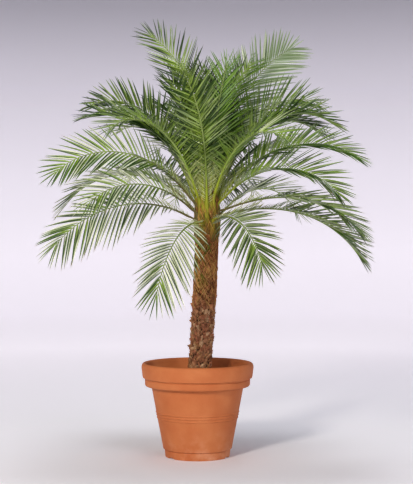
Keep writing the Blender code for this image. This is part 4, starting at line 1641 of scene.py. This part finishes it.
# %% Leaf greens
FOOT_GREEN = "8AA82E"
TIP_BROWN = "8E6E50"
PALE_CLOUD_MM = 71


def build_leaf_green(name, blade, highlight_and_underside, specular, below_share=0.8, dry=0.0, base=0.0):
    material, tree, shader, place = new_material(name, blade, 0.34, specular)
    across, side, below, along = [
        add(tree, "ShaderNodeAttribute", attribute_name=mark).outputs["Fac"]
        for mark in ("across_leaflet", "near_side", "below_leaflet", "along_leaflet")
    ]
    # The pale half of the fold is a painted highlight; the pale underside is partly the leaflet's own
    # wax and partly painted light.
    near = add(tree, "ShaderNodeMath", {0: across, 1: side}, operation="MULTIPLY")
    half = add(tree, "ShaderNodeMapRange", {0: near, 1: -0.05, 2: 0.20})
    under = add(tree, "ShaderNodeMapRange", {0: below, 1: 0.10, 2: 0.45, 3: 0.0, 4: below_share})
    either = add(tree, "ShaderNodeMath", {0: half, 1: under}, operation="MAXIMUM")
    cloud = add(tree, "ShaderNodeTexNoise", {
        "Vector": place, "Scale": per_metre(PALE_CLOUD_MM), "Detail": 3.0,
    })
    some = add(tree, "ShaderNodeMapRange", {0: cloud, 1: 0.30, 2: 0.70, 3: 0.55, 4: 1.0})
    amount = add(tree, "ShaderNodeMath", {0: either, 1: some}, operation="MULTIPLY")
    foot = add(tree, "ShaderNodeMapRange", {0: along, 1: 0.0, 2: 0.38, 3: base, 4: 0.0})
    tip = add(tree, "ShaderNodeMapRange", {0: along, 1: 0.86, 2: 1.0, 3: 0.0, 4: dry})
    paint(tree, shader, linear(blade), (amount, highlight_and_underside), (foot, FOOT_GREEN), (tip, TIP_BROWN))
    return material


# The second colour of each green is its painted highlight and paler underside.
young_green = build_leaf_green("young leaflet", "3A5E12", "7C9A36", 0.5, base=0.8)
grown_green = build_leaf_green("grown leaflet", "30501A", "8AA054", 0.6, base=0.7)
old_green = build_leaf_green("old leaflet", "364E24", "D4DCBA", 0.8, dry=0.9)
# The shaded and dim greens are painted shade.
shaded_green = build_leaf_green("leaflet in deep painted shade", "1C3010", "3C5622", 0.3, 0.3, base=0.5)
bright_green = build_leaf_green("fresh leaflet", "467218", "749638", 0.5)
pale_green = build_leaf_green("leaflet seen from below", "6C8254", "C6D0BA", 0.8)
dim_green = build_leaf_green("old leaflet in painted shade", "30461C", "8A9A66", 0.5, 0.3, 0.9)
spine_green = build_leaf_green("stalk spine", "8A9A40", "B6BE78", 0.6)
spine_pale = build_leaf_green("dry pale spine", "8A9652", "C6CC9C", 0.6)
print("materials so far:", len(bpy.data.materials))

# %% [markdown]
# ### Growing the fronds by groups
# Leaflets differ with the age and place of their frond, so the fronds grow in groups. The old ones of
# the left side have wide shiny leaflets with a bright painted highlight, and those of the right side
# closer ones, painted duller as shade. Further up they are finer and painted darker as shade, and in
# the head narrow and close. One tall frond shows its pale underside, and one young leaf is still
# bright green. Each group becomes one piece and stands for the solids of its fronds.

# %% Groups of fronds
FROND_GROUPS = {
    "dim": ("low_front_right", "low_right", "mid_right", "arched_right", "wide_right"),
    "upper": ("shoulder_left", "upper_left", "shoulder_right", "far_right"),
    "head": ("front_left", "front_right", "tall_left", "upper_right", "spear_right"),
    "inner": ("inner_front", "inner_left"),
    "pale": ("tall_right",),
    "fresh": ("young_1",),
}
# The dim and shaded greens are painted shade, and the pale half of every green is a painted highlight.
LEAF_GROUPS = (
    # group, width, spacing and twist of the leaflets, greens of young, grown and old ones
    ("wide", 0.0106, 0.0165, 0.10, (young_green, grown_green, old_green)),
    ("dim", 0.0096, 0.0102, 0.14, (young_green, grown_green, dim_green)),
    ("upper", 0.0090, 0.0118, 0.16, (grown_green, shaded_green, dim_green)),
    ("head", 0.0062, 0.0108, 0.18, (young_green, grown_green, shaded_green)),
    ("inner", 0.0080, 0.0140, 0.15, (shaded_green, grown_green, shaded_green)),
    ("pale", 0.0102, 0.0148, 0.08, (pale_green, pale_green, grown_green)),
    ("back", 0.0088, 0.0160, 0.18, (shaded_green, grown_green, old_green)),
    ("young", 0.0080, 0.0140, 0.12, (shaded_green, grown_green, shaded_green)),
    ("fresh", 0.0066, 0.0140, 0.12, (bright_green, bright_green, bright_green)),
)


def group_of(frond):
    """The group that names the frond, or else back or young by its name, or else wide."""
    for group, names in FROND_GROUPS.items():
        if frond.name in names:
            return group
    first_word = frond.name.split("_")[0]
    return first_word if first_word in ("back", "young") else "wide"


# %% Grow the leaflets and spines
LEAFLET_SHORTEST = 0.03
SPINE_SHORTEST = 0.01
SPINE_SPACING = 0.0085
SPINE_WIDTH = 0.0056
SPINE_TWIST = 0.25


def grown_on(lines, name, pattern, width, spacing, twist, shortest, greens):
    """A piece with a leaflet or spine at every step of the lines, which are then removed."""
    piece = made_by(grow, name, lines, {
        "Leaflet": pattern, "Trunk": trunk_core, "Spacing": spacing, "Width": width, "Twist": twist,
        "Shortest": shortest, "Young": greens[0], "Grown": greens[1], "Old": greens[2],
    })
    bpy.data.objects.remove(lines)
    return piece


grow = leaflet_tree()
leaflet_pattern = build_leaflet_pattern(grown_green)
for group, width, spacing, twist, greens in LEAF_GROUPS:
    group_fronds = [frond for frond in fronds if group_of(frond) == group]
    leaflets = grown_on(
        leaf_lines("leaf_lines", group_fronds, ribs), f"{group}_leaflets", leaflet_pattern,
        width, spacing, twist, LEAFLET_SHORTEST, greens,
    )
    settle(leaflets, "palm_leaf", *[frond.name for frond in group_fronds])
bpy.data.objects.remove(leaflet_pattern)
spine_pattern = build_leaflet_pattern(spine_green)
stalk_spines = grown_on(
    leaf_lines("spine_lines", fronds, ribs, spines=True), "stalk_spines", spine_pattern,
    SPINE_WIDTH, SPINE_SPACING, SPINE_TWIST, SPINE_SHORTEST, (spine_green, spine_green, spine_pale),
)
settle(stalk_spines, "palm_leaf")
for helper in (spine_pattern, axis_line, start_point):
    bpy.data.objects.remove(helper)
